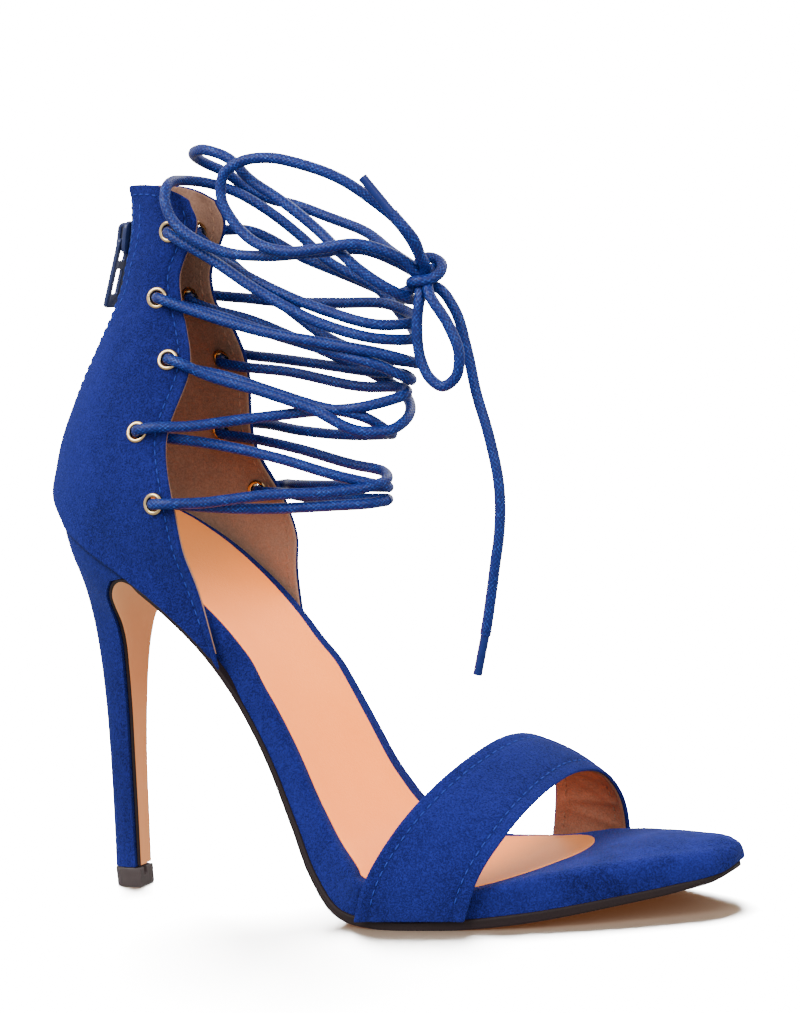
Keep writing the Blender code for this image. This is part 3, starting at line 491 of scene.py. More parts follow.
# Heel. A moulded stiletto core wrapped in the same suede as the upper, its edges glued under
# the flap of the outsole. The nap of the suede shows as soft lighter and darker strokes.
HEEL = np.array((
    # x_front   x_back   z_front  z_back  half  power
    (-108.4, -117.0, 6.3, 6.3, 3.8, 2.4),
    (-107.62, -116.3, 20.0, 20.0, 3.95, 2.2),
    (-106.42, -115.4, 40.0, 40.0, 4.3, 2.1),
    (-105.05, -115.0, 57.0, 58.5, 5.2, 2.0),
    (-104.15, -115.3, 67.0, 70.5, 6.3, 1.9),
    (-103.05, -116.2, 76.6, 83.0, 8.2, 1.9),
    (-102.35, -117.3, 82.1, 92.0, 10.7, 1.9),
    (-100.8, -118.4, 87.0, 100.5, 15.1, 1.9),
    (-97.75, -119.1, 91.9, 107.4, 20.6, 1.9),
    (-93.85, -119.7, 95.55, 112.0, 24.0, 1.9),
))
HEEL_SEAT = {"x_front": -86.2, "x_back": -119.7, "half": 26.4, "power": 1.9}
HEEL_SEAT_IN, HEEL_SEAT_LIFT, HEEL_SEAT_SQUARE = 0.5, 0.2, 0.02
HEEL_RINGS, HEEL_ROUND, HEEL_FLAT = 70, 40, 10
# The heel's seam band is a painted shadow: a dark line along the heel's top, under the quarters' lower edge.
HEEL_SEAM, HEEL_SEAM_SHADOW, HEEL_SEAM_SLOPE = 0.8, 0.9, 0.55


def suede_finish(name, seam=None, seam_shade=0.30, rubbed=None):
    """Cobalt suede: short nap with a soft sheen, brushed in patches, with a fine fibre speckle.
    Where a seam runs that far inside the edge, a dark band is painted along it: painted shade in the stitch
    groove, and on the heel a painted shadow under the quarters' edge. Right at the edge the tone moves by
    0.42 less that band's strength. Where x passes rubbed, handling has laid the nap in patches."""
    finish = Finish(
        name, 0.95, Specular_IOR_Level=0.12, Sheen_Weight=0.16, Sheen_Roughness=0.4,
        Sheen_Tint=(0.14, 0.24, 1.0, 1.0))
    brushed = finish.noise(24.0, 3.0, 0.55, (1.0, 1.0, 0.6)).ramp(0.3, 0.7)
    nap = finish.noise(2.6, 3.0, 0.6).ramp(0.3, 0.7)
    fibre = finish.noise(0.44, 2.0, 0.6).ramp(0.35, 0.65)
    tone = brushed * 0.28 + nap * 0.14 + fibre * 0.58
    if seam:
        from_edge = finish.mark("edge")
        # Painted shade: a dark band along the seam, in the stitch groove; on the heel it is the painted
        # shadow of the quarters' edge.
        seam_shade_band = abs(from_edge - seam).ramp(1.1, 0.2)
        tone = tone * (1.0 - seam_shade_band * seam_shade) + from_edge.ramp(0.9, 0.1) * (0.42 - seam_shade)
    if rubbed:
        laid = finish.noise(11.0, 4.0, 0.6, (0.7, 1.0, 1.0)).ramp(0.36, 0.64) - 0.5
        tone = tone + laid * finish.axis(0).ramp(rubbed, rubbed + 20.0) * 0.40
    finish.color(finish.tint(tone, (0.0014, 0.0022, 0.039), (0.0120, 0.0172, 0.188)))
    finish.relief(fibre * 0.7 + nap * 0.3, 0.30)
    return finish


def heel_ring(x_front, x_back, z_front, z_back, half, power, flat=HEEL_FLAT):
    """Section of the heel: flat in front, round behind."""
    angle = np.radians(np.linspace(-90, 90, HEEL_ROUND))
    deep = np.abs(np.cos(angle)) ** (2 / power)
    y = np.sign(np.sin(angle)) * np.abs(np.sin(angle)) ** (2 / power) * half
    back = np.column_stack((x_front + (x_back - x_front) * deep, y, z_front + (z_back - z_front) * deep))
    front = np.linspace(back[-1], back[0], flat)[1:-1]
    return np.vstack((back, front))


heel_run = run(HEEL[:, 1:4:2])
heel_rings = [heel_ring(*row) for row in through(heel_run, HEEL, np.linspace(0.0, heel_run[-1], HEEL_RINGS))]
seat = heel_ring(z_front=0.0, z_back=0.0, **HEEL_SEAT)
_, _, seat_outer, seat_inner = feather(feather_at(seat[:HEEL_ROUND, 0]))
seat_side = np.where(seat[:HEEL_ROUND, 1] < 0, HEEL_SEAT_IN - seat_outer, seat_inner - HEEL_SEAT_IN)
seat[:HEEL_ROUND, 1] = seat_side * np.abs(np.linspace(-1, 1, HEEL_ROUND)) ** HEEL_SEAT_SQUARE
seat[HEEL_ROUND:, 1] = np.linspace(seat_side[-1], seat_side[0], HEEL_FLAT)[1:-1]
seat[:, 2] = feather(feather_at(seat[:, 0]))[0][:, 1] + HEEL_SEAT_LIFT
heel_neck = heel_rings[-1]
for blend_in in (0.15, 0.4, 0.7, 0.9, 1.0):
    heel_rings.append(heel_neck * (1 - blend_in) + seat * blend_in)
heel_rings = np.array(heel_rings)
heel_edge = HEEL_SEAM_SLOPE * np.linalg.norm(heel_rings - seat, axis=2)
# Painted shadow along the heel's top, where the quarters' lower edge overhangs it.
heel_suede = suede_finish("heel_suede", HEEL_SEAM, HEEL_SEAM_SHADOW)
heel = skin("heel_cover", heel_rings, heel_suede, marks={"edge": heel_edge})
mounted(heel, "suede", "heel")


# Heel tip. A hard rubber top piece, pinned into the end of the heel and ground level with the floor.
# Its front carries a short moulded groove.
TIP_FRONT, TIP_BACK, TIP_HALF, TIP_ROUNDNESS, TIP_FLAT = -106.9, -117.2, 3.7, 2.6, 40
TIP_PROFILE = (
    # height  grown by
    (0.0, -0.35), (0.15, -0.1), (0.5, 0.0), (3.2, 0.0), (3.7, 0.0), (4.2, 0.05), (5.5, 0.05),
    (5.8, 0.0), (6.0, -0.2))
GROOVE_PLACE, GROOVE_EDGE, GROOVE_RISE, GROOVE_DEEP = -0.7, (0.75, 0.5), (3.3, 4.0), 1.2
rubber = Finish("top_piece_rubber", 0.55)
rubber.mottle(3.0, 3.0, (0.019, 0.0112, 0.0112), (0.038, 0.024, 0.0235))
rubber.relief(rubber.noise(0.35, 3.0), 0.04)
tip_rings = []
for tip_z, tip_grow in TIP_PROFILE:
    ring = heel_ring(
        TIP_FRONT + tip_grow, TIP_BACK - tip_grow, tip_z, tip_z, TIP_HALF + tip_grow, TIP_ROUNDNESS, TIP_FLAT)
    groove = smooth(*GROOVE_EDGE, np.abs(ring[:, 1] - GROOVE_PLACE)) * smooth(*GROOVE_RISE, tip_z)
    ring[:, 0] -= GROOVE_DEEP * groove * (ring[:, 0] > TIP_FRONT - 0.5)
    tip_rings.append(ring)
heel_tip = skin("heel_top_piece", tip_rings, rubber, sharp=35)
mounted(heel_tip, "heel_tip", "heel_tip")


# Footbed. Board and thin foam under a suede wrap that is turned round the edge and lasted
# underneath. The top edge is soft and the middle dips a little where the foot stands.
FOOTBED_INSET = 0.8
FOOTBED_THICK = ((18.0, 7.4), (36.0, 9.3), (48.0, 9.4), (62.0, 8.7), (72.0, 7.8), (81.0, 6.9))
FOOTBED_FILL, FOOTBED_FILL_AT, FOOTBED_FILL_REACH = 3.0, -25.0, 17.0
FOOTBED_BASE, FOOTBED_EDGE, FOOTBED_TOE_EDGE, FOOTBED_TUCK = 0.05, 2.0, 3.8, 40.0
FOOTBED_DISH = (
    (-120.0, 1.2), (-80.0, 2.2), (-30.0, 2.4), (5.0, 1.0), (38.0, 0.0), (60.0, -2.0), (80.0, -1.4))
FOOTBED_STOP, FOOTBED_RINGS, NOSE_RINGS = 4.6, 140, 38
TOE_RUBBED = 25.0
NOSE_AHEAD, NOSE_MIDDLE, NOSE_TOP, NOSE_LOW = 2.3, 4.3, 8.0, 3.2
NOSE_REACH, NOSE_ROUND, NOSE_WIDE = 16.0, 30.0, 18.4
WALL, SEAT_GAP, QUARTER_FRONT = 2.0, 1.0, -59.0


def seat_inset(x):
    """How far the footbed stands inside the outline; more where the quarters wrap it."""
    f = smooth(0.0, 1.0, (QUARTER_FRONT + 7.0 - x) / 6.0)
    return FOOTBED_INSET + (WALL + SEAT_GAP - FOOTBED_INSET) * f


def footbed_top(x):
    """Height of the footbed's edge over the sole; padding fills the bend behind the ball."""
    bend = np.exp(-((feather_at(x) - feather_at(FOOTBED_FILL_AT)) / FOOTBED_FILL_REACH) ** 2)
    return read_off(FOOTBED_THICK, x) + FOOTBED_FILL * bend


def footbed_dip(x, across):
    """How far the top lies below its edge; across runs from -1 to 1."""
    return read_off(FOOTBED_DISH, x) * np.maximum(1 - np.asarray(across) ** 2, 0.0)


def dome(distance, reach):
    """Quarter of a circle: 0 at its start, 1 from reach on."""
    return math.sqrt(1 - (1 - min(max(distance / reach, 0.0), 1.0)) ** 2)


def footbed_section(x, half, low, top):
    """Outline of the footbed: walls that tuck in at the toe, rounded upper edges, a dished top."""
    toe = float(smooth(15.0, 50.0, x))
    edge = FOOTBED_EDGE + (FOOTBED_TOE_EDGE - FOOTBED_EDGE) * toe
    wide, deep = min(edge, 0.6 * half), min(edge, 0.62 * (top - low))
    belly = top - deep
    tuck = math.radians(FOOTBED_TUCK * toe)
    left = []
    for f in np.linspace(1.0, 0.0, 5)[:-1]:
        left.append((-half + wide * (1 - math.cos(tuck * f)), belly + (low - belly) * f))
    for turn in np.radians(np.linspace(0.0, 90.0, 9)):
        left.append((-half + wide - wide * math.cos(turn), belly + deep * math.sin(turn)))
    left = np.array(left)
    flat = np.linspace(-half + wide, half - wide, 19)[1:-1]
    upper = np.column_stack((flat, top - footbed_dip(x, flat / (half - wide)) * min(half / 10.0, 1.0)))
    under = np.column_stack((np.linspace(-left[0, 0], left[0, 0], 9)[1:-1], np.full(7, low)))
    return np.vstack((left, upper, left[::-1] * (-1.0, 1.0), under))


footbed_run = FEATHER_RUN[-1] - FOOTBED_STOP
footbed_rings = []
footbed_even = np.linspace(0.0, 1.0, FOOTBED_RINGS + 1)[1:]
footbed_at = np.concatenate((
    NOSE_REACH * (1 - np.cos(np.linspace(0.0, np.pi / 2, NOSE_RINGS))) - NOSE_AHEAD,
    (footbed_run + NOSE_AHEAD - NOSE_REACH) * (0.5 * footbed_even + 0.5 * footbed_even ** 2)
    + NOSE_REACH - NOSE_AHEAD))
for d, (x, z), (nx, nz), outer, inner in zip(footbed_at, *feather(np.maximum(footbed_at, 0.0))):
    ahead = max(-d, 0.0)
    from_tip = d + NOSE_AHEAD + 0.02
    toe_out = (FOOTBED_INSET + 0.4) * float(smooth(25.0, 50.0, x))
    half = (outer + inner) / 2 - seat_inset(x) + toe_out
    nose = float(smooth(NOSE_REACH, 4.0, from_tip))
    half += (NOSE_WIDE * dome(from_tip, NOSE_ROUND) - half) * nose
    top = NOSE_MIDDLE + (float(footbed_top(x)) - NOSE_MIDDLE) * dome(from_tip, NOSE_TOP)
    low = NOSE_MIDDLE + (FOOTBED_BASE - NOSE_MIDDLE) * dome(from_tip, NOSE_LOW)
    section = footbed_section(x, half, low, top)
    footbed_rings.append(np.column_stack((
        x + nz * ahead + nx * section[:, 1], (inner - outer) / 2 + section[:, 0],
        z - nx * ahead + nz * section[:, 1])))
footbed = skin("footbed_wrap", footbed_rings, suede_finish("footbed_suede", rubbed=TOE_RUBBED))
mounted(footbed, "suede", "footbed")


# Sock. A smooth nude synthetic leather glued on the footbed, rounded off under the toe strap.
# It has a fine printed grain and a soft gloss, and its skived edge lies down on the suede.
SOCK_FRONT, SOCK_NOSE, SOCK_STOP, SOCK_TAIL, SOCK_THICK = 39.5, 28.0, 8.0, 5.0, 0.4
SOCK_NARROWEST, SOCK_SUNK, SOCK_RINGS = 0.4, 0.1, 130
SOCK_INSET = ((-60.0, 2.2), (-22.0, 5.2))
SOCK_FAR_INSET = ((-95.0, 3.4), (-60.0, 4.8), (-25.0, 6.4), (0.0, 5.0), (30.0, 2.0))
sock_leather = Finish("sock_leather", 0.5, Specular_IOR_Level=0.15)
sock_pores = sock_leather.cells(0.55)
sock_soft = sock_leather.noise(16.0, 3.0)
sock_along = sock_leather.axis(0)
sock_nude = sock_leather.tint(
    sock_soft * 0.6 + sock_pores * 0.4, (0.76, 0.195, 0.012), (0.86, 0.250, 0.040))
# Painted shade: the sock is darkened in the heel cup and under the toe strap, where the quarters and strap
# would shade it; the sock's own lamp casts no shadows from them.
sock_painted_shade = sock_along.ramp(-54.0, -84.0) + sock_along.ramp(-2.0, 18.0)
sock_leather.color(sock_leather.tint(sock_painted_shade * 0.85, sock_nude, (0.30, 0.130, 0.050)))
sock_leather.relief(sock_pores * 0.5 + sock_leather.noise(1.1, 3.0) * 0.5, 0.09)
sock_start = float(feather_at(SOCK_FRONT))
sock_end = FEATHER_RUN[-1] - SOCK_STOP
sock_at = sock_start + (sock_end - sock_start) * (1 - np.cos(np.pi * np.linspace(0, 1, SOCK_RINGS))) / 2
sock_rings = []
for (x, z), (nx, nz), outer, inner, d in zip(*feather(sock_at), sock_at):
    nose = np.clip((d - sock_start) / SOCK_NOSE, 0.0, 1.0)
    tail = np.clip((sock_end - d) / SOCK_TAIL, 0.0, 1.0)
    rounding = math.sqrt(max(1 - (1 - nose) ** 2.2, 0.0)) * (0.35 + 0.65 * math.sqrt(1 - (1 - tail) ** 2))
    bed = (outer + inner) / 2 - seat_inset(x)
    near = max((bed - read_off(SOCK_INSET, x)) * rounding, SOCK_NARROWEST)
    far = max((bed - read_off(SOCK_FAR_INSET, x)) * rounding, SOCK_NARROWEST)
    low = footbed_top(x) - SOCK_SUNK
    section = slab(-near, far, low, low + SOCK_THICK, 0.2, flat=14, bend=4)
    section[:, 1] -= footbed_dip(x, section[:, 0] / (bed - FOOTBED_EDGE))
    middle = (inner - outer) / 2
    sock_rings.append(np.column_stack((
        x + nx * section[:, 1], middle + section[:, 0], z + nz * section[:, 1])))
sock = skin("sock_leather", sock_rings, sock_leather)
mounted(sock, "sock", "sock")
only_sock.objects.link(sock)


# Quarters. Two suede walls, lined with tan microfibre, closed behind by a zip above a butted seam.
# Their front edges are turned in and stitched; the wearer's lace pulls at the eyelets.
QUARTER = (
    # x_front  z_front  x_back   z_back  front  half  power  setback  lead  drop
    (-63.4, 89.0, -121.1, 122.0, 26.0, 28.6, 2.7, 0.0, 3.4, 0.0),
    (-66.2, 103.0, -119.2, 130.0, 28.6, 29.4, 2.5, 0.0, 5.6, 1.2),
    (-67.4, 115.0, -117.0, 137.0, 29.0, 28.8, 2.4, 5.7, 3.8, 3.0),
    (-71.4, 134.6, -111.0, 149.6, 23.6, 24.6, 2.3, 8.4, 2.4, 4.4),
    (-66.2, 156.0, -103.0, 164.6, 15.2, 17.8, 2.2, 6.0, 1.6, 1.0),
    (-68.7, 166.6, -97.8, 173.4, 11.4, 13.8, 2.1, 0.0, 2.4, 0.4),
    (-70.8, 173.4, -94.6, 180.4, 9.4, 11.4, 2.0, 6.6, 1.0, 0.0),
    (-70.8, 181.0, -92.7, 186.0, 9.2, 10.6, 2.0, 0.0, 0.4, 0.0),
    (-64.3, 193.4, -90.0, 195.0, 8.8, 9.6, 2.0, 7.8, 0.0, 0.0),
    (-65.6, 202.0, -88.4, 208.0, 8.2, 9.0, 2.0, 0.0, 0.0, 0.0),
)
QUARTER_LIFT = -0.2
COLLAR_FLARE, COLLAR_POWER = 0.9, 2.6
QUARTER_SUEDE = 1.15
ZIP_BOTTOM = 128.0
ZIP_HALF = 3.2
EYELETS = range(1, 6)
EYELET_FOLLOWS, EYELET_HOLE, HOLE_REACH = 0.45, 2.25, 8.0
EYELET_PULL, EYELET_PULL_REACH = 0.35, 7.0
CREASE_DEEP, CREASE_WIDE, CREASE_SLOPE = 0.28, 1.6, 0.35
EDGE_ROLL, EDGE_ROLL_WIDE = 0.35, 0.9
SEAM_GAP, LINING_GAP = 0.12, 0.02
STITCH_IN, COLLAR_STITCH = 3.0, 2.2
HANDS = ((-1, "lateral"), (1, "medial"))


def quarter_lines(side):
    """Level lines of the outer face; side runs from -1, the outer front edge, over 0, the back, to 1."""
    side = np.asarray(side, float)
    angle = (1 - np.abs(side)) * np.pi / 2
    sign = np.sign(side)
    back = FEATHER[-1, 0] - 0.2
    x = QUARTER_FRONT + (back - QUARTER_FRONT) * np.sin(angle) ** (2 / 2.8)
    point, normal, outer, inner = feather(feather_at(x))
    y = np.where(sign < 0, -outer, inner) * np.abs(sign)
    rows = [np.column_stack((
        x + normal[:, 0] * QUARTER_LIFT, y, point[:, 1] + normal[:, 1] * QUARTER_LIFT))]
    for x_front, z_front, x_back, z_back, front, half, power, setback, lead, drop in QUARTER:
        q = np.sin(angle) ** (2 / power)
        fade = (sign > 0) * (1 - q) ** 2
        rows.append(np.column_stack((
            x_front + (x_back - x_front) * q + lead * fade,
            sign * np.cos(angle) ** (2 / power) * (front + (half - front) * smooth(0.0, 0.5, q)),
            z_front + (z_back - z_front) * q - drop * fade)))
    z_front, z_back = QUARTER[-1][1], QUARTER[-1][3]
    rows[-1][:, 2] = z_back - (z_back - z_front) * (1 - q) ** COLLAR_POWER
    return np.array(rows)


QUARTER_RUN = run(quarter_lines([0.0])[:, 0])


def quarter_face(level, side):
    """Points of the outer face, one for each pair of level and side."""
    level, side = np.broadcast_arrays(np.asarray(level, float), np.asarray(side, float))
    flat = through(QUARTER_RUN, quarter_lines(side.ravel()), level.ravel())
    return flat.reshape(*level.shape, 3)


def face_normals(points):
    """Outward unit normals of a grid that climbs along its first axis and goes round on its second."""
    return unit(np.cross(np.gradient(points, axis=0), np.gradient(points, axis=1)))


EDGE_TURN, SIDE_TURN = np.radians((35, 65, 90)), np.radians((45, 90, 135))


def wall_rings(points, normals, outer, inner):
    """Closed wall between two offsets from a face, with rounded edges all round."""
    half, middle = (outer - inner) / 2, (outer + inner) / 2
    first_out = unit(points[:, 0] - points[:, 1])
    last_out = unit(points[:, -1] - points[:, -2])

    def ring(row, shrink, push):
        thick = half * shrink
        p, n = points[row] + push, normals[row]
        parts = [p + n * (middle + thick)]
        for angle in SIDE_TURN:
            deep, wide = middle + thick * math.cos(angle), thick * math.sin(angle)
            parts.append(p[-1] + n[-1] * deep + last_out[row] * wide)
        parts.append((p + n * (middle - thick))[::-1])
        for angle in SIDE_TURN[::-1]:
            deep, wide = middle + thick * math.cos(angle), thick * math.sin(angle)
            parts.append(p[0] + n[0] * deep + first_out[row] * wide)
        return np.vstack(parts)

    start_out = unit(points[0] - points[1])
    end_out = unit(points[-1] - points[-2])
    rings = []
    for angle in EDGE_TURN[::-1]:
        rings.append(ring(0, math.cos(angle), start_out * half * math.sin(angle)))
    rings += [ring(row, 1.0, 0.0) for row in range(len(points))]
    for angle in EDGE_TURN:
        rings.append(ring(-1, math.cos(angle), end_out * half * math.sin(angle)))
    return np.array(rings)


def wall_marks(values):
    """Numbers on a face, carried round the wall made from it."""
    rows = np.pad(values, ((len(EDGE_TURN),) * 2, (0, 0)), mode="edge")
    right, left = rows[:, -1:].repeat(len(SIDE_TURN), axis=1), rows[:, :1].repeat(len(SIDE_TURN), axis=1)
    return np.hstack((rows, right, rows[:, ::-1], left))


def row_run(points):
    """Distance along each row of a grid from its first point."""
    steps = np.linalg.norm(np.diff(points, axis=1), axis=2)
    return np.hstack((np.zeros((len(points), 1)), np.cumsum(steps, axis=1)))


def cut(piece, cutters):
    """Cuts shapes out of a piece and keeps the result as its mesh."""
    tool = bpy.data.objects.new("cutter", bpy.data.meshes.new("cutter"))
    cutters.to_mesh(tool.data)
    cutters.free()
    bpy.context.scene.collection.objects.link(tool)
    step = piece.modifiers.new("cut", "BOOLEAN")
    step.operation = "DIFFERENCE"
    step.solver = "EXACT"
    step.object = tool
    settle(piece)
    bpy.data.objects.remove(tool)


def settle(piece):
    """Bakes a piece's modifiers into its mesh."""
    shaped = piece.evaluated_get(bpy.context.evaluated_depsgraph_get())
    mesh = bpy.data.meshes.new_from_object(shaped)
    piece.modifiers.clear()
    piece.data = mesh


def eyelet_seat(number, hand):
    """Centre and outward normal of an eyelet, counted from the top; hand is -1 or 1."""
    row = [i for i, line in enumerate(QUARTER) if line[7] > 0.0][-number]
    x_front, _, x_back, _, _, _, power, setback, lead, _ = QUARTER[row]
    q = setback / (x_front - x_back)
    if hand > 0:
        q += EYELET_FOLLOWS * lead * (1 - q) ** 2 / (x_front - x_back)
    side = hand * (1 - math.asin(q ** (power / 2)) * 2 / math.pi)
    level = QUARTER_RUN[row + 1]
    low, high = quarter_face([level - 0.5, level + 0.5], [side, side])
    before, center, after = quarter_face([level] * 3, [side - 0.01, side, side + 0.01])
    return center, unit(np.cross(high - low, after - before))


def upright_on(center, out):
    """Brings a shape that stands at the origin to a point of the face, along its normal."""
    return Matrix.Translation(Vector(center) * MM) @ Vector(out).to_track_quat("Z", "Y").to_matrix().to_4x4()


def lining_finish(name, deep, lit, low=None):
    """Brushed microfibre: a matt tan cloth with a fine even speckle, painted lighter below low and darker
    above it: painted light and shade.
    """
    finish = Finish(name, 0.8, Specular_IOR_Level=0.2)
    fine = finish.noise(0.55, 3.0, 0.65).ramp(0.3, 0.7)
    tone = finish.noise(9.0, 3.0) * 0.5 + fine * 0.5
    if low:
        # Painted light and shade: the lining is painted lighter below low and darker above it.
        tone = tone * 0.45 + finish.axis(2).ramp(low + 10.0, low - 12.0) * 0.38
    finish.color(finish.tint(tone, deep, lit))
    finish.relief(fine * 0.7 + finish.noise(1.3, 2.0) * 0.3, 0.08)
    return finish


lining = lining_finish("microfibre_lining", (0.182, 0.090, 0.058), (0.470, 0.270, 0.185), low=112.0)

quarter_suede = suede_finish("quarter_suede", STITCH_IN)
LEVELS, COLUMNS = 150, 84
LINING_TRIM, LINING_START = 0.15, 1.4
from_edge_on = np.linspace(0.0, 1.0, 160) ** 2
column_share = np.linspace(0.0, 1.0, COLUMNS)
column_share = 0.6 * column_share + 0.4 * (1 - np.cos(np.pi * column_share)) / 2
level_rows = np.linspace(0.0, QUARTER_RUN[-1], LEVELS)
fine_side = np.linspace(0.0, 0.45, 46)
stitch_lines = {}
for hand, hand_name in HANDS:
    seats = [eyelet_seat(number, hand) for number in EYELETS]
    behind = quarter_face(level_rows[:, None], hand * np.maximum(fine_side, 1e-4)[None, :])
    back_z = behind[:, 0, 2]
    gap = SEAM_GAP + (ZIP_HALF - SEAM_GAP) * smooth(ZIP_BOTTOM - 3.0, ZIP_BOTTOM + 4.0, back_z)
    stop = np.array([np.interp(g, np.abs(row[:, 1]), fine_side) for g, row in zip(gap, behind)])
    order = slice(None) if hand < 0 else slice(None, None, -1)
    fine_sides = 1 - from_edge_on[None, :] * (1 - stop[:, None])
    fine_run = row_run(quarter_face(level_rows[:, None], hand * fine_sides))

    def spread(trim):
        """Sides of even columns that start and stop that far inside the front and back edges."""
        return hand * np.array([
            np.interp(trim + column_share * (d[-1] - 2 * trim), d, sides)
            for d, sides in zip(fine_run, fine_sides)])[:, order]

    face = quarter_face(level_rows[:, None], spread(0.0))
    normal = face_normals(face)
    from_front = row_run(face)
    if hand > 0:
        from_front = from_front[:, -1:] - from_front
    from_back = from_front.max(axis=1, keepdims=True) - from_front
    height = np.cumsum(np.linalg.norm(np.diff(face, axis=0, prepend=face[:1]), axis=2), axis=0)
    pull = np.zeros(face.shape[:2])
    for center, _ in seats:
        away = face - center
        pull += EYELET_PULL * np.exp(-(np.linalg.norm(away, axis=2) / EYELET_PULL_REACH) ** 2)
        behind_it = smooth(3.0, 8.0, -away[..., 0]) * smooth(26.0, 9.0, -away[..., 0])
        off_crease = np.abs(away[..., 2] - CREASE_SLOPE * away[..., 0])
        pull -= CREASE_DEEP * np.exp(-(off_crease / CREASE_WIDE) ** 2) * behind_it
    edge_roll = -EDGE_ROLL * np.exp(-((from_front - STITCH_IN) / EDGE_ROLL_WIDE) ** 2)
    flare = COLLAR_FLARE * smooth(7.0, 0.0, from_back) * smooth(5.0, 0.0, height.max(axis=0) - height)
    face = face + normal * (pull * smooth(0.0, 6.0, from_back) + edge_roll + flare)[..., None]
    outer_wall = wall_rings(face, normal, 0.0, -QUARTER_SUEDE)
    marks = {"edge": wall_marks(np.minimum(from_front, height.max() - height))}
    shell = skin(f"quarter_{hand_name}_suede", outer_wall, quarter_suede, capped=False, marks=marks)
    lined_rows = LINING_START + level_rows * (0.998 - LINING_START / QUARTER_RUN[-1])
    lined = quarter_face(lined_rows[:, None], spread(LINING_TRIM))
    lined_normal = face_normals(lined)
    lined = lined + lined_normal * flare[..., None]
    inner_wall = wall_rings(lined, lined_normal, -QUARTER_SUEDE - LINING_GAP, -WALL)
    liner = skin(f"quarter_{hand_name}_lining", inner_wall, lining, capped=False)
    for piece in (shell, liner):
        holes = bmesh.new()
        for center, out in seats:
            bmesh.ops.create_cone(
                holes, cap_ends=True, segments=24, radius1=EYELET_HOLE * MM, radius2=EYELET_HOLE * MM,
                depth=HOLE_REACH * MM, matrix=upright_on(center - out, out))
        cut(piece, holes)
    mounted(shell, "suede", *(("quarters",) if hand < 0 else ()))
    mounted(liner, "suede")
    from_top = height[-1:] - height
    stitch_lines[hand_name] = (
        face[:, order], normal[:, order], from_front[:, order], from_back[:, order], from_top[:, order])
    stitch_lines[hand_name + "_lining"] = (lined[:, order], lined_normal[:, order])


# Stitching. A lighter blue thread, sewn a little inside each turned edge and beside the zip;
# on the lining side the same seam shows as a tan thread.
THREAD, STITCH_LENGTH, STITCH_PITCH = 0.40, 2.1, 2.8
STITCH_LIFT, INSIDE_LIFT = 0.08, 0.05
ZIP_STITCHES = (1.5, 5.2)
thread_blue = Finish("thread_blue", 0.75, Specular_IOR_Level=0.15)
thread_blue.mottle(0.4, 2.0, (0.011, 0.026, 0.205), (0.022, 0.048, 0.330))
thread_tan = Finish("thread_tan", 0.65)
thread_tan.mottle(0.4, 2.0, (0.26, 0.125, 0.070), (0.38, 0.200, 0.120))


def sew(name, line, normals, finish, lift=STITCH_LIFT):
    """A row of stitches along a line, each a short plump thread that dips at both ends."""
    distance = run(line)
    bm = bmesh.new()
    for c in np.arange(STITCH_PITCH, distance[-1] - STITCH_PITCH / 2, STITCH_PITCH):
        point, ahead, out = (np.array([np.interp(d, distance, rows[:, k]) for k in range(3)])
                             for d, rows in ((c, line), (c + 0.4, line), (c, normals)))
        way = Vector(ahead - point).normalized()
        up = Vector(out).normalized()
        across = up.cross(way).normalized()
        up = way.cross(across)
        axes = Matrix((way, across, up)).transposed().to_4x4()
        size = Matrix.Diagonal((STITCH_LENGTH / 2 * MM, THREAD / 2 * MM, THREAD / 2 * MM, 1.0))
        spot = Matrix.Translation(Vector(point + out * lift) * MM)
        bmesh.ops.create_uvsphere(bm, u_segments=6, v_segments=6, radius=1.0, matrix=spot @ axes @ size)
    mounted(finished(name, bm, finish, sharp=180), "suede")


def line_at(face, normal, distance, wanted):
    """Line on a grid where a distance along each row has the wanted value."""
    points, outs = [], []
    for row, n, d in zip(face, normal, distance):
        points.append([np.interp(wanted, d, row[:, k]) for k in range(3)])
        outs.append([np.interp(wanted, d, n[:, k]) for k in range(3)])
    return np.array(points), np.array(outs)


for _, hand_name in HANDS:
    face, normal, from_front, from_back, from_top = stitch_lines[hand_name]
    line, outs = line_at(face, normal, from_front, STITCH_IN)
    sew(f"stitch_{hand_name}_front", line[4:-4], outs[4:-4], thread_blue)
    down_face, down_normal, down = (grid[::-1].swapaxes(0, 1) for grid in (face, normal, from_top))
    line, outs = line_at(down_face, down_normal, down, COLLAR_STITCH)
    inside = (from_front[-1] > STITCH_IN + 1.0) & (from_back[-1] > ZIP_STITCHES[0])
    sew(f"stitch_{hand_name}_collar", line[inside], outs[inside], thread_blue)
    beside_zip = face[:, -1, 2] > ZIP_BOTTOM + 2.0
    zip_face, zip_normal, from_zip = (grid[beside_zip][:, ::-1] for grid in (face, normal, from_back))
    for k, beside in enumerate(ZIP_STITCHES):
        line, outs = line_at(zip_face, zip_normal, from_zip, beside)
        sew(f"stitch_{hand_name}_zip_{k + 1}", line[:-3], outs[:-3], thread_blue)
    lined, lined_normal = stitch_lines[hand_name + "_lining"]
    line, outs = line_at(lined, lined_normal, row_run(lined), STITCH_IN - 0.6)
    sew(f"stitch_{hand_name}_inside", (line - outs * WALL)[4:-4], -outs[4:-4], thread_tan, INSIDE_LIFT)


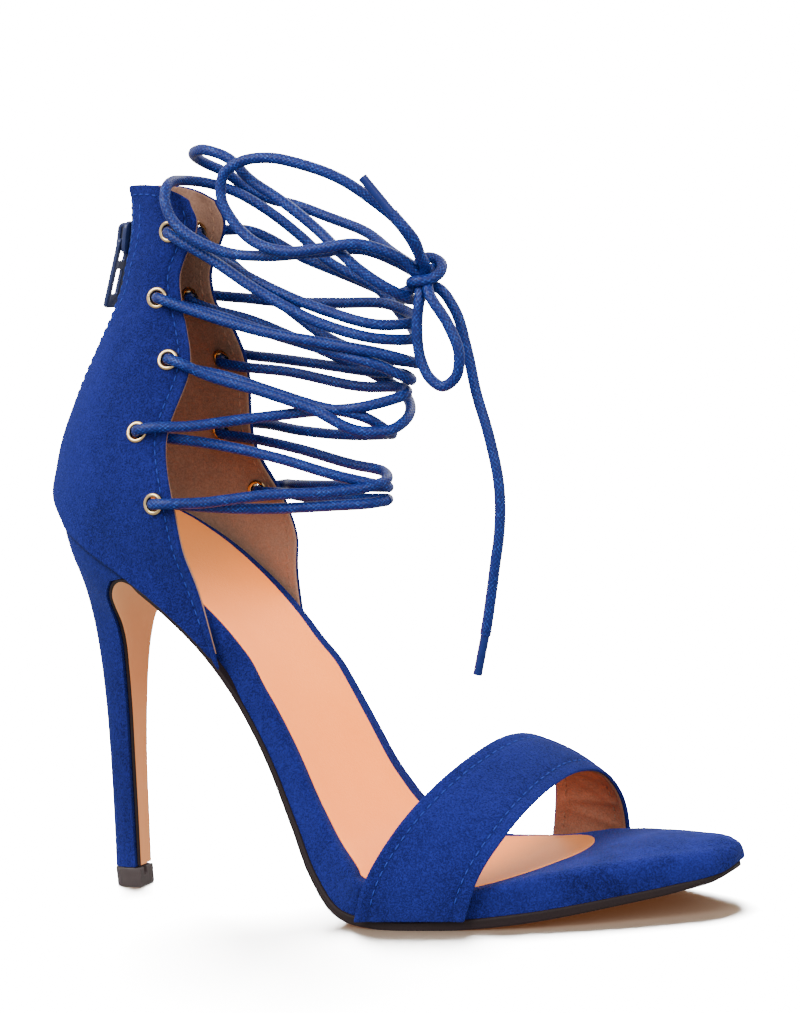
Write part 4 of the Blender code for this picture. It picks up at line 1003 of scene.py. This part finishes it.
# Toe strap. One broad band of lined suede over the ball of the foot, its feet tucked between
# footbed and outsole. Both edges are turned and stitched; the lining wrinkles on the inner curve.
STRAP = np.array((
    # back x    y      z     front x   y      z
    (-14.0, -41.0, 2.9, 17.0, -38.4, 3.4),
    (-10.4, -40.9, 12.6, 21.2, -37.2, 14.0),
    (-1.8, -35.4, 27.0, 27.6, -29.0, 25.4),
    (10.2, -20.0, 41.0, 33.2, -12.0, 33.8),
    (18.4, -1.0, 46.4, 36.0, 4.0, 35.6),
    (20.6, 17.0, 41.4, 37.8, 18.0, 32.0),
    (16.8, 31.4, 29.0, 38.6, 28.0, 22.4),
    (12.6, 38.0, 14.0, 38.0, 31.8, 12.0),
    (10.0, 38.8, 2.8, 37.6, 32.2, 5.4),
))
STRAP_WALL, STRAP_SUEDE, STRAP_CROWN, STRAP_STITCH, STRAP_ROLL = 1.8, 1.0, 1.2, 3.6, 0.3
STRAP_ROWS, STRAP_COLUMNS, STRAP_GAP = 130, 34, 0.03
WRINKLE_GAIN, WRINKLE_WIDE = 1.6, 0.011
WRINKLES = (
    # along  slant  depth
    (0.72, 0.05, 0.28), (0.765, -0.04, 0.34), (0.81, 0.06, 0.36), (0.855, -0.05, 0.34), (0.9, 0.03, 0.3))

strap_run = run((STRAP[:, :3] + STRAP[:, 3:]) / 2)
strap_along = np.linspace(0.0, 1.0, STRAP_ROWS)[:, None]
strap_across = np.linspace(0.0, 1.0, STRAP_COLUMNS)[None, :]
strap_edges = through(strap_run, STRAP, np.linspace(0.0, strap_run[-1], STRAP_ROWS))[:, None]
strap_face = (strap_edges[..., :3] * (1 - strap_across[..., None])
              + strap_edges[..., 3:] * strap_across[..., None])
strap_bulge = STRAP_CROWN * np.sin(np.pi * strap_along) ** 0.5 * 4 * strap_across * (1 - strap_across)
strap_face = strap_face - face_normals(strap_face) * strap_bulge[..., None]
strap_normal = -face_normals(strap_face)
strap_in = row_run(strap_face)
strap_edge = np.minimum(strap_in, strap_in[:, -1:] - strap_in)
strap_roll = STRAP_ROLL * np.exp(-((strap_edge - STRAP_STITCH) / EDGE_ROLL_WIDE) ** 2)
strap_outer = strap_face - strap_normal * strap_roll[..., None]
strap = skin(
    "toe_strap_suede", wall_rings(strap_outer, strap_normal, 0.0, -STRAP_SUEDE),
    suede_finish("strap_suede", STRAP_STITCH), capped=False, marks={"edge": wall_marks(strap_edge)})
mounted(strap, "suede", "toe_strap")
wrinkled = np.zeros(strap_edge.shape)
for along, slant, deep in WRINKLES:
    off_wrinkle = strap_along - along - slant * (strap_across - 0.5)
    wrinkled += WRINKLE_GAIN * deep * np.exp(-(off_wrinkle / WRINKLE_WIDE) ** 2)
strap_thread = Finish("strap_thread", 0.65)
strap_thread.mottle(0.4, 2.0, (0.130, 0.055, 0.028), (0.200, 0.090, 0.050))
strap_cloth = lining_finish("strap_lining", (0.115, 0.043, 0.023), (0.205, 0.088, 0.052))
lining_face = strap_face - strap_normal * (wrinkled * smooth(0, 5, strap_edge))[..., None]
strap_lining = skin(
    "toe_strap_lining",
    wall_rings(lining_face[:, 1:-1], strap_normal[:, 1:-1], -STRAP_SUEDE - STRAP_GAP, -STRAP_WALL),
    strap_cloth, capped=False)
mounted(strap_lining, "suede")
for edge_name, flip in (("back", slice(None)), ("front", slice(None, None, -1))):
    distance = strap_in if edge_name == "back" else (strap_in[:, -1:] - strap_in)
    line, outs = line_at(strap_outer[:, flip], strap_normal[:, flip], distance[:, flip], STRAP_STITCH)
    sew(f"stitch_strap_{edge_name}", line[3:-3], outs[3:-3], thread_blue)
    line, outs = line_at(strap_face[:, flip], strap_normal[:, flip], distance[:, flip], STRAP_STITCH)
    under = line - outs * STRAP_WALL
    sew(f"stitch_strap_{edge_name}_inside", under[6:-6], -outs[6:-6], strap_thread, INSIDE_LIFT)


# Eyelets. Pale gold brass rings, spun from sheet: a rolled flange outside, a barrel through the wall
# and a flatter flange clinched over the lining.
EYELET_OUTSIDE, EYELET_INSIDE, EYELET_LIP = 0.45, -WALL - 0.65, 0.55
EYELET_TOP = EYELET_OUTSIDE + EYELET_LIP
EYELET_PROFILE = (
    # radius  height: barrel, rolled flange outside, barrel again, clinched flange inside
    (1.95, 0.2), (1.98, 0.55), (2.12, EYELET_TOP - 0.12), (2.40, EYELET_TOP), (2.75, EYELET_TOP - 0.02),
    (3.02, EYELET_TOP - 0.16), (3.18, EYELET_TOP - 0.38), (3.22, 0.1), (2.7, -0.1), (2.2, -0.2),
    (2.2, EYELET_INSIDE + 0.25), (2.6, EYELET_INSIDE + 0.1), (3.1, EYELET_INSIDE + 0.05),
    (3.15, EYELET_INSIDE - 0.2), (2.8, EYELET_INSIDE - 0.36), (2.3, EYELET_INSIDE - 0.38),
    (2.02, EYELET_INSIDE - 0.2), (1.95, EYELET_INSIDE + 0.2))
brass = Finish("eyelet_brass", 0.12, metallic=1.0)
brass.mottle(1.2, 3.0, (0.52, 0.35, 0.15), (0.68, 0.50, 0.26))
brass.relief(brass.noise(0.25, 2.0), 0.01)
for hand, hand_name in HANDS:
    for number in EYELETS:
        ring = bmesh.new()
        corners = [ring.verts.new((r * MM, 0.0, h * MM)) for r, h in EYELET_PROFILE]
        loop = [ring.edges.new((a, b)) for a, b in zip(corners, corners[1:] + corners[:1])]
        bmesh.ops.spin(
            ring, geom=corners + loop, cent=(0, 0, 0), axis=(0, 0, 1), angle=2 * math.pi, steps=36,
            use_merge=True)
        bmesh.ops.remove_doubles(ring, verts=ring.verts, dist=WELD)
        bmesh.ops.recalc_face_normals(ring, faces=ring.faces)
        bmesh.ops.transform(ring, matrix=upright_on(*eyelet_seat(number, hand)), verts=ring.verts)
        eyelet = finished(f"brass_{hand_name}_{number}", ring, brass)
        mounted(eyelet, "eyelet", f"eyelet_{hand_name}_{number}")


# Zip. Two woven tapes sewn inside the suede edges carry moulded teeth; the painted slider rides on
# them near the collar and its pull tab swings on the cross-bar under the slider's arch.
ZIP_TOP = 206.0
TAPE_HALF, TAPE_LOW, TAPE_HIGH, TAPE_RINGS = 2.95, -1.75, -0.95, 90
TOOTH, TOOTH_PITCH, TOOTH_SUNK, TOOTH_SIDE, TOOTH_BEVEL = (0.85, 2.3, 1.15), 1.05, 0.62, 0.75, 0.18
SLIDER_HEIGHT, SLIDER_LENGTH, SLIDER_WIDTH, SLIDER_PLATE, SLIDER_LIFT = 193.5, 10.0, 7.6, 1.4, 0.3
SLIDER_PROFILE = (
    # height  grown by
    (0.3, -0.35), (0.45, -0.08), (0.7, 0.0), (1.4, 0.0), (1.6, -0.1), (1.7, -0.4))
ARCH_LENGTH, ARCH_WIDTH, ARCH_CLEAR, ARCH_THICK = 8.4, 1.6, 2.2, 1.2
PIVOT_DOWN, PULL_LENGTH, PULL_WIDTH, PULL_THICK, PULL_LEAN = 1.0, 20.4, 6.4, 1.2, math.radians(21.0)
PULL_CORNER, WINDOW_CORNER, PULL_SOFT = 1.1, 0.5, 0.22
PULL_WINDOWS = (
    # from  to  half width
    (PULL_THICK / 2, 6.2, 1.6), (8.6, 16.4, 1.5))
back_fine = np.linspace(0.0, QUARTER_RUN[-1], 900)
back_points = quarter_face(back_fine, np.zeros(900))
across = np.array((0.0, 1.0, 0.0))


def back_line(z):
    """Point, upward tangent and outward normal of the back line at height z."""
    level = np.interp(z, back_points[:, 2], back_fine)
    low, point, high = quarter_face(level + np.array((-0.5, 0.0, 0.5)), np.zeros(3))
    way = unit(high - low)
    return point, way, np.array((-way[2], 0.0, way[0]))


tape = Finish("zip_tape", 0.85)
ribs = (tape.weave(0) * 9.0).sine() * 0.5 + 0.5
# The ribs are painted lighter and the troughs between them darker: painted shade in the troughs.
tape.color(tape.tint(ribs, (0.007, 0.018, 0.105), (0.014, 0.038, 0.190)))
tape.relief(ribs, 0.08)
zip_heights = np.linspace(ZIP_BOTTOM + 0.3, ZIP_TOP, TAPE_RINGS)
zip_frames = [back_line(z) for z in zip_heights]
section = slab(-TAPE_HALF, TAPE_HALF, TAPE_LOW, TAPE_HIGH, 0.2, flat=4, bend=3)
tape_rings = [point + out * section[:, 1:] + across * section[:, :1] for point, _, out in zip_frames]
zip_tape = skin("zip_tape", tape_rings, tape, sharp=40)
mounted(zip_tape, "zip_tape", "zip_chain")

navy = Finish("navy_paint", 0.34, Specular_IOR_Level=0.25, Coat_Weight=0.12, Coat_Roughness=0.2)
navy.mottle(2.2, 4.0, (0.007, 0.012, 0.045), (0.020, 0.032, 0.105))
navy.relief(navy.noise(0.5, 2.0), 0.02)
zip_run = run(np.array([f[0] for f in zip_frames]))
teeth = bmesh.new()
tooth_size = Matrix.Diagonal((*(side * MM for side in TOOTH), 1.0))
for count, d in enumerate(np.arange(1.0, zip_run[-1] - 0.5, TOOTH_PITCH)):
    point, way, out = back_line(np.interp(d, zip_run, zip_heights))
    side = TOOTH_SIDE if count % 2 else -TOOTH_SIDE
    axes = Matrix((Vector(way), Vector(across), Vector(out))).transposed().to_4x4()
    spot = Matrix.Translation(Vector(point - out * TOOTH_SUNK + across * side) * MM)
    made = bmesh.ops.create_cube(teeth, size=1.0, matrix=spot @ axes @ tooth_size)
    edges = list({e for v in made["verts"] for e in v.link_edges})
    bmesh.ops.bevel(
        teeth, geom=edges, offset=TOOTH_BEVEL * MM, segments=1, profile=0.5, affect="EDGES", material=-1)
tooth_row = finished("zip_teeth", teeth, navy, sharp=50)
mounted(tooth_row, "painted_metal")


def local(point, axes, coordinates):
    """Points given along, across and out of a frame."""
    return point + np.asarray(coordinates, float) @ np.array(axes)


slider_point, slider_up, slider_out = back_line(SLIDER_HEIGHT)
slider_axes = (slider_up, across, slider_out)
plate_rings = []
for h, grow in SLIDER_PROFILE:
    outline = []
    for f in np.linspace(0, 2 * np.pi, 48, endpoint=False):
        c, s = math.cos(f), math.sin(f)
        length = SLIDER_LENGTH / 2 + grow
        wide = (SLIDER_WIDTH / 2 + grow) * (0.90 + 0.10 * c)
        outline.append((math.copysign(abs(c) ** 0.55, c) * length, math.copysign(abs(s) ** 0.6, s) * wide, h))
    plate_rings.append(local(slider_point, slider_axes, outline))
slider_plate = skin("slider_plate", plate_rings, navy, sharp=35)
mounted(slider_plate, "painted_metal", "zip_slider")
arch_roof = SLIDER_LIFT + SLIDER_PLATE + ARCH_CLEAR + ARCH_THICK / 2
arch_reach = ARCH_LENGTH / 2 - ARCH_THICK / 2
arch_half = np.array((
    (-arch_reach, 0.0, 1.5), (-arch_reach, 0.0, 2.6), (-arch_reach + 0.1, 0.0, arch_roof - 0.7),
    (-arch_reach + 0.8, 0.0, arch_roof), (-1.0, 0.0, arch_roof + 0.1)))
arch_path = np.vstack((arch_half, arch_half[::-1] * (-1.0, 1.0, 1.0)))
arch_even = through(run(arch_path), arch_path, np.linspace(0, run(arch_path)[-1], 40))
section = slab(-ARCH_WIDTH / 2, ARCH_WIDTH / 2, -ARCH_THICK / 2, ARCH_THICK / 2, 0.3, bend=3)
arch_rings = []
for p, w in zip(arch_even, unit(np.gradient(arch_even, axis=0))):
    ring = p + np.array((-w[2], 0.0, w[0])) * section[:, 1:] + across * section[:, :1]
    arch_rings.append(local(slider_point, slider_axes, ring))
slider_arch = skin("slider_arch", arch_rings, navy, sharp=50)
mounted(slider_arch, "painted_metal")

pull_axes = np.array((
    (-math.sin(PULL_LEAN), 0.0, -math.cos(PULL_LEAN)), across,
    (-math.cos(PULL_LEAN), 0.0, math.sin(PULL_LEAN))))
pivot = slider_point - slider_up * PIVOT_DOWN + slider_out * (SLIDER_LIFT + SLIDER_PLATE + ARCH_CLEAR / 2)
pull_bm = bmesh.new()
bmesh.ops.create_cube(pull_bm, size=1.0)
bmesh.ops.scale(pull_bm, vec=(PULL_LENGTH + PULL_THICK / 2, PULL_WIDTH, PULL_THICK), verts=pull_bm.verts)
bmesh.ops.translate(pull_bm, vec=((PULL_LENGTH - PULL_THICK / 2) / 2, 0, 0), verts=pull_bm.verts)
upright = [e for e in pull_bm.edges if abs(e.verts[0].co.z - e.verts[1].co.z) > 0.5]
bmesh.ops.bevel(
    pull_bm, geom=upright, offset=PULL_CORNER, segments=5, profile=0.5, affect="EDGES", material=-1)
bmesh.ops.scale(pull_bm, vec=(MM, MM, MM), verts=pull_bm.verts)
pull_tab = finished("pull_tab", pull_bm, navy, sharp=35)
windows = bmesh.new()
for low, high, half in PULL_WINDOWS:
    box = bmesh.ops.create_cube(windows, size=1.0)["verts"]
    bmesh.ops.scale(windows, vec=((high - low) * MM, 2 * half * MM, 5 * MM), verts=box)
    bmesh.ops.translate(windows, vec=((low + high) / 2 * MM, 0, 0), verts=box)
    upright = [
        e for e in windows.edges
        if abs(e.verts[0].co.z - e.verts[1].co.z) > 4 * MM and all(v in box for v in e.verts)]
    bmesh.ops.bevel(
        windows, geom=upright, offset=WINDOW_CORNER * MM, segments=3, profile=0.5, affect="EDGES",
        material=-1)
cut(pull_tab, windows)
soften = pull_tab.modifiers.new("soften", "BEVEL")
soften.width = PULL_SOFT * MM
soften.segments = 2
soften.limit_method = "ANGLE"
settle(pull_tab)
pull_tab.data.transform(Matrix((*np.column_stack((pull_axes.T, pivot * MM)), (0, 0, 0, 1))))
mounted(pull_tab, "painted_metal", "zip_pull", body="zip_pull")


# Lace. One waxed, braided cord: it crosses the instep through the eyelets, goes twice round the ankle
# and is tied in front in a bow with one long and one short loop. Its ends are bound in glossy sleeves.
LACE, LACE_LEAVE, LACE_STEP, BOW_STEP = 3.1, 7.0, 1.3, 1.1
BRAID_STARTS, BRAID_TURN = 9, 4.6
STRANDS = {
    "bar": ((5, "in"), (5, "in"), (
        (-50, -18, 114), (-25, -10, 113), (-17.5, -6.5, 112.8), (-14.6, 0, 112.8),
        (-17.5, 6.5, 112.8), (-25, 10, 112.8), (-50, 18, 113.6))),
    "5a": ((5, "out"), (4, "in"), (
        (-60, -27, 117), (-43, -19, 117.6), (-24, -10.5, 117), (-17, -7, 117.4),
        (-14, 0, 118.6), (-18, 6.6, 120.6), (-29, 9, 123), (-50, 13.5, 128.5))),
    "5b": ((4, "in"), (5, "out"), (
        (-62, -15.5, 133), (-42, -12, 127.5), (-24, -8.6, 121), (-17.5, -6, 118.8),
        (-14.2, 0, 116.8), (-17.5, 6.6, 116.2), (-30, 12, 116.4), (-50, 21, 116.8),
        (-60, 27.4, 116.8))),
    "4a": ((4, "out"), (3, "in"), (
        (-66, -22, 138.4), (-50, -13.5, 139), (-33, -7.5, 139.6), (-13, -7.6, 140.2),
        (-5.4, 0, 142.4), (-10, 6.6, 144), (-22, 7.4, 145), (-48, 9.4, 151))),
    "4b": ((3, "in"), (4, "out"), (
        (-58, -9.4, 151.5), (-43.6, -8.8, 146.2), (-30, -8.2, 141.2), (-14.5, -6.4, 136.4),
        (-11.4, 0, 131.8), (-15, 6.6, 131.2), (-27, 10.5, 131.2), (-50, 17, 133.4),
        (-64, 22.6, 135.6))),
    "3a": ((3, "out"), (2, "in"), (
        (-62, -16.6, 153.4), (-43.6, -13, 146.2), (-30, -11.6, 140.8), (-14.6, -10, 133.2),
        (-8.2, -5.2, 133), (-6.2, 0, 135.2), (-7.6, 6.4, 138.6), (-12.5, 11.4, 143),
        (-22, 12.6, 148.5), (-40, 10.5, 158), (-58, 7.4, 167))),
    "3b": ((2, "in"), (3, "out"), (
        (-60, -6, 168.6), (-43, -7, 162.4), (-24, -7.6, 156), (-9, -6.8, 150.8),
        (-3.6, 0, 146.2), (-9, 6.8, 147.8), (-20.6, 10.6, 149), (-40, 14, 152.4),
        (-58, 17, 155.4))),
    "2a": ((2, "out"), (1, "in"), (
        (-64, -11.8, 170.4), (-43, -10.8, 163), (-24, -9.8, 158.4), (-7.5, -7, 154),
        (-1.6, 0, 150.8), (-6.5, 6.6, 151), (-19, 9, 153.4), (-34, 9.4, 160),
        (-47, 10.2, 169.6), (-58, 7.4, 180), (-66, 5, 188))),
    "2b": ((1, "in"), (2, "out"), (
        (-58, -6.4, 184.6), (-42, -8, 175.6), (-24, -8.4, 167.4), (-6.5, -7, 162),
        (-0.6, 0, 162.2), (-6, 6.8, 165), (-12, 8.6, 167.4), (-30, 10.6, 169.4),
        (-46, 11.6, 170.8), (-62, 12.2, 173.4))),
}
TURN_OUTER = (
    (-60, -11.6, 186.4), (-42, -11.4, 173.8), (-24, -10.8, 163.8), (-7, -8.2, 158.2),
    (-1.4, 0, 157.6), (-5, 7, 160), (-9, 10.6, 163), (-17.5, 13.6, 171.6), (-34, 13.6, 182),
    (-42, 13, 190), (-53, 11.6, 199.4), (-62, 10.4, 205), (-68.6, 6.6, 207.8), (-72, 0, 208.6),
    (-71.6, -6.5, 208), (-70.6, -11, 206), (-69.8, -13.4, 202.4), (-68, -14, 197.6),
    (-62, -14.6, 191.8), (-50.6, -13.6, 186), (-39, -13.4, 184), (-22, -12.6, 183.6),
    (-9.5, -9.6, 183.0), (-1.4, -5.6, 178.6), (4.0, -4.0, 174.8))
TURN_INNER = (
    (-62, 13.2, 193.4), (-42, 17.4, 182.6), (-29, 17.6, 176.6), (-20, 18, 172.2),
    (-12, 15.4, 169.2), (-5, 9.6, 168.4), (-0.4, 4, 168.4), (1.2, -3, 168.2), (0.6, -9, 169.6),
    (-2.6, -13.4, 172.6), (-9, -15.4, 178), (-14, -15, 182.6), (-21, -13, 189), (-32.5, -12.4, 198.7),
    (-43, -12, 206.4), (-48.2, -12, 212), (-56, -11.6, 215.4), (-62.5, -7, 215.6),
    (-66, -1, 214.8), (-66.2, 5, 213), (-62.4, 9.4, 210), (-60, 13.6, 206.4), (-51.5, 16.4, 201),
    (-46, 16.6, 199.4), (-33, 16.2, 194), (-20, 13, 188.6), (-10, 7, 182.6),
    (2.3, -1, 176.2), (4.6, -3.0, 175.0))
KNOT = np.array((5.5, -5.0, 174.5))

wax = Finish("waxed_braid", 0.42, Specular_IOR_Level=0.20)
round_cord, along_cord = wax.weave(1), wax.weave(0)
left_turn = (round_cord * (2 * math.pi * BRAID_STARTS) + along_cord * BRAID_TURN).sine()
right_turn = (round_cord * (2 * math.pi * BRAID_STARTS) - along_cord * BRAID_TURN).sine()
braid = left_turn * 0.25 + right_turn * 0.25 + 0.5
# Painted glints: pale blue flecks on the crests of the braid, stronger in patches.
painted_glints = (left_turn.ramp(0.2, 0.9) * wax.noise(0.6, 2.0).ramp(0.46, 0.62)
         + right_turn.ramp(0.2, 0.9) * wax.noise(0.8, 2.0).ramp(0.46, 0.62))
glint_patches = wax.noise(3.0, 3.0, 0.6).ramp(0.35, 0.70)
# The braid term paints the grooves between strands darker, painted shade; the noise term is the cord's random
# tone.
cord_blue = wax.tint(
    braid * 0.45 + wax.noise(4.0, 3.0) * 0.55, (0.0010, 0.0040, 0.046), (0.0040, 0.0135, 0.150))
wax.color(wax.tint(painted_glints * (glint_patches * 0.42 + 0.20), cord_blue, (0.024, 0.100, 0.460)))
wax.relief(braid, 0.08)


def lace_leave(number, hand, face, towards):
    """Points where the cord leaves an eyelet: in its barrel, bent over its rim, and past the edge."""
    center, normal = eyelet_seat(number, hand)
    sign = 1.0 if face == "out" else -1.0
    rim = EYELET_OUTSIDE if sign > 0 else EYELET_INSIDE
    start = center + normal * (rim + sign * (EYELET_LIP + 0.3 + LACE / 2))
    way = np.array(towards) - start
    way = unit(way - normal * (way @ normal))
    barrel = center + normal * (rim * 0.5 if sign > 0 else -WALL / 2 - 1.0)
    bend = center + normal * (rim + sign * (EYELET_LIP + 1.2)) + way * 1.0
    return barrel, bend, start + way * 4.0, start + way * LACE_LEAVE


def strand(name, reverse=False):
    """Points of one strand between its two eyelets."""
    (outer, outer_face), (inner, inner_face), points = STRANDS[name]
    line = [*lace_leave(outer, -1, outer_face, points[0]), *points,
            *reversed(lace_leave(inner, 1, inner_face, points[-1]))]
    return line[::-1] if reverse else line


def cord_path(points, step):
    """Even points on a smooth curve through the given ones."""
    points = np.array(points, float)
    distance = run(points)
    keep = np.concatenate(([True], np.diff(distance) > 0.3))
    points = points[keep]
    distance = run(points)
    fine = through(distance, points, np.linspace(0.0, distance[-1], 60 * len(points)))
    length = run(fine)
    even = np.linspace(0.0, length[-1], int(round(length[-1] / step)) + 1)
    return np.column_stack([np.interp(even, length, fine[:, k]) for k in range(3)])


def round_rings(path, radius, sides=16):
    """Rings round a path, carried along without twist."""
    way = unit(np.gradient(path, axis=0))
    side = np.cross(way[0], (0.0, 0.3, 1.0))
    radius = np.broadcast_to(radius, len(path))
    angles = np.linspace(0.0, 2 * np.pi, sides, endpoint=False)
    rings = []
    for p, w, r in zip(path, way, radius):
        side = unit(side - w * (side @ w))
        other = np.cross(w, side)
        rings.append(p + r * (np.cos(angles)[:, None] * side + np.sin(angles)[:, None] * other))
    return np.array(rings)


def lay_cord(name, points, step):
    """A round cord along a route; returns the piece and its centre line."""
    path = cord_path(points, step)
    return skin(name, round_rings(path, LACE / 2), wax, along=run(path)), path


bar = strand("bar")
middle = len(bar) // 2
half_outer = [*bar[:middle + 1][::-1], *strand("5a"), *strand("4b", True), *strand("3a"), *strand("2b", True),
              *lace_leave(1, -1, "out", TURN_OUTER[0]), *TURN_OUTER]
half_inner = [*bar[middle:], *strand("5b", True), *strand("4a"), *strand("3b", True), *strand("2a"),
              *lace_leave(1, 1, "out", TURN_INNER[0]), *TURN_INNER]
lace_outer, _ = lay_cord("lace_outer_half", half_outer, LACE_STEP)
mounted(lace_outer, "waxed_cord", "lace_bar_5", "lace_cross_5", "lace_cross_3", "lace_turn_outer")
lace_inner, _ = lay_cord("lace_inner_half", half_inner, LACE_STEP)
mounted(lace_inner, "waxed_cord", "lace_cross_4", "lace_cross_2", "lace_turn_inner")


def facing(right, up, near):
    """Point near the knot, given as the bow is seen from the front."""
    return KNOT + view_right * right + view_up * up + view_back * near


LOOP_BIG = (
    facing(-1.0, -0.6, 0.6), (2.4, -9.1, 178.6), (-1.6, -13, 182.0), (-8, -17.2, 184.6), (-17, -19.0, 184.4),
    (-28.5, -18.4, 184.4), (-39.4, -17.6, 188), (-46, -17.2, 194.6), (-49, -17.2, 201.4),
    (-47.6, -17.2, 207.4), (-41.8, -17.2, 210.4), (-33, -16.6, 210.6), (-24, -15.8, 208),
    (-12.5, -14, 202.6), (-4.6, -12.4, 196.4), (1.4, -9.6, 189.8), (5.6, -6.4, 180), facing(0.4, 1.0, -0.6))
LOOP_SMALL = (
    facing(-0.6, -1.0, 0.4), (5.3, -7.9, 169), (4, -8.4, 161), (4.1, -8, 151.6), (6.4, -8, 146.4),
    (9.8, -8, 144), (14, -8.2, 146), (16, -8.6, 152), (13.8, -9, 160.4),
    (8.5, -8.6, 169.8), facing(1.0, -0.8, 0.9))
KNOT_WRAP = (
    facing(-2.5, -2.4, -1.8), facing(-3.4, -1.9, 1.0), facing(-1.6, -1.7, 3.2), facing(1.0, -1.5, 3.8),
    facing(3.5, -0.4, 3.2), facing(4.9, 1.4, 1.6), facing(5.0, 3.3, -0.2), facing(3.6, 4.7, -2.0),
    facing(1.4, 5.4, -3.4), facing(-1.0, 4.2, -4.2), facing(-2.0, 1.6, -4.2), facing(-0.7, -1.0, -3.2))
END_SHORT = (
    facing(-6.8, -5.0, -2.0), facing(-3.2, -3.4, -1.2), facing(-0.6, -1.2, 0.2), facing(0.5, 2.0, 2.6),
    (7.8, -10.6, 180), (8.0, -13.6, 184), (6.4, -15.6, 187.6), (4.2, -16.2, 190.6), (3.4, -16.4, 191.8))
END_LONG = (
    facing(1.8, 3.0, -0.8), facing(2.6, 0.6, -0.6), facing(2.2, -2.0, -0.9), (9.6, -3.4, 170.4),
    (12.8, -2.2, 164.6), (15, -1.4, 154), (16.7, -1, 141), (19.2, -1, 130),
    (21.1, -1, 114.4), (19.6, -1, 100.7), (18.2, -1, 95), (16.1, -1, 86), (13.3, -1, 75), (13.1, -1, 74.3))

SLEEVE_COLLAR, SLEEVE_CRIMP, SLEEVE_FLARE = 1.62, 0.34, 0.05
SLEEVE_STEP, SLEEVE_SIDES = 0.6, 20
sleeve = Finish("lace_sleeve", 0.34, Specular_IOR_Level=0.2)
sleeve.mottle(1.5, 3.0, (0.003, 0.009, 0.075), (0.007, 0.018, 0.135))
sleeve.relief(sleeve.noise(0.6, 2.0, 0.5, (1.0, 1.0, 0.3)), 0.05)


def sleeve_on(name, start, end, node):
    """Glossy tip: crimped on at the cord, nearly straight, open and slightly flared at its cut end."""
    path = cord_path((start, (np.array(start) * 0.5 + np.array(end) * 0.5), end), SLEEVE_STEP)
    f = np.linspace(0.0, 1.0, len(path))
    radius = SLEEVE_COLLAR - SLEEVE_CRIMP * smooth(0.0, 0.12, f) + SLEEVE_FLARE * smooth(0.9, 1.0, f)
    rings = list(round_rings(path, radius, SLEEVE_SIDES))
    tip, inside = rings[-1], path[-1]
    rings.append(inside + (tip - inside) * 0.78)
    rings.append(inside + (tip - inside) * 0.70 - (path[-1] - path[-2]) * 0.9)
    piece = skin(name, rings, sleeve, sharp=45)
    mounted(piece, "aglet", node)
    return piece


tip_short = sleeve_on("sleeve_short", (4.6, -16.1, 190.0), (-4, -17.6, 202.2), "aglet_short")
tip_long = sleeve_on("sleeve_long", (13.5, -1, 75.6), (9.7, -1, 63.2), "aglet_long")

for cord_name, points, far_end, tips, nodes in (
        ("bow_loop_big", LOOP_BIG, "object", (), ("lace_loop_big",)),
        ("bow_loop_small", LOOP_SMALL, "object", (), ("lace_loop_small",)),
        ("bow_knot", KNOT_WRAP, "object", (), ("lace_knot",)),
        ("bow_end_short", END_SHORT, "fitting", (tip_short,), ("lace_end_short",)),
        ("bow_end_long", END_LONG, "fitting", (tip_long,), ("lace_end_long",))):
    piece, path = lay_cord(cord_name, points, BOW_STEP)
    mounted(piece, "waxed_cord", *nodes)
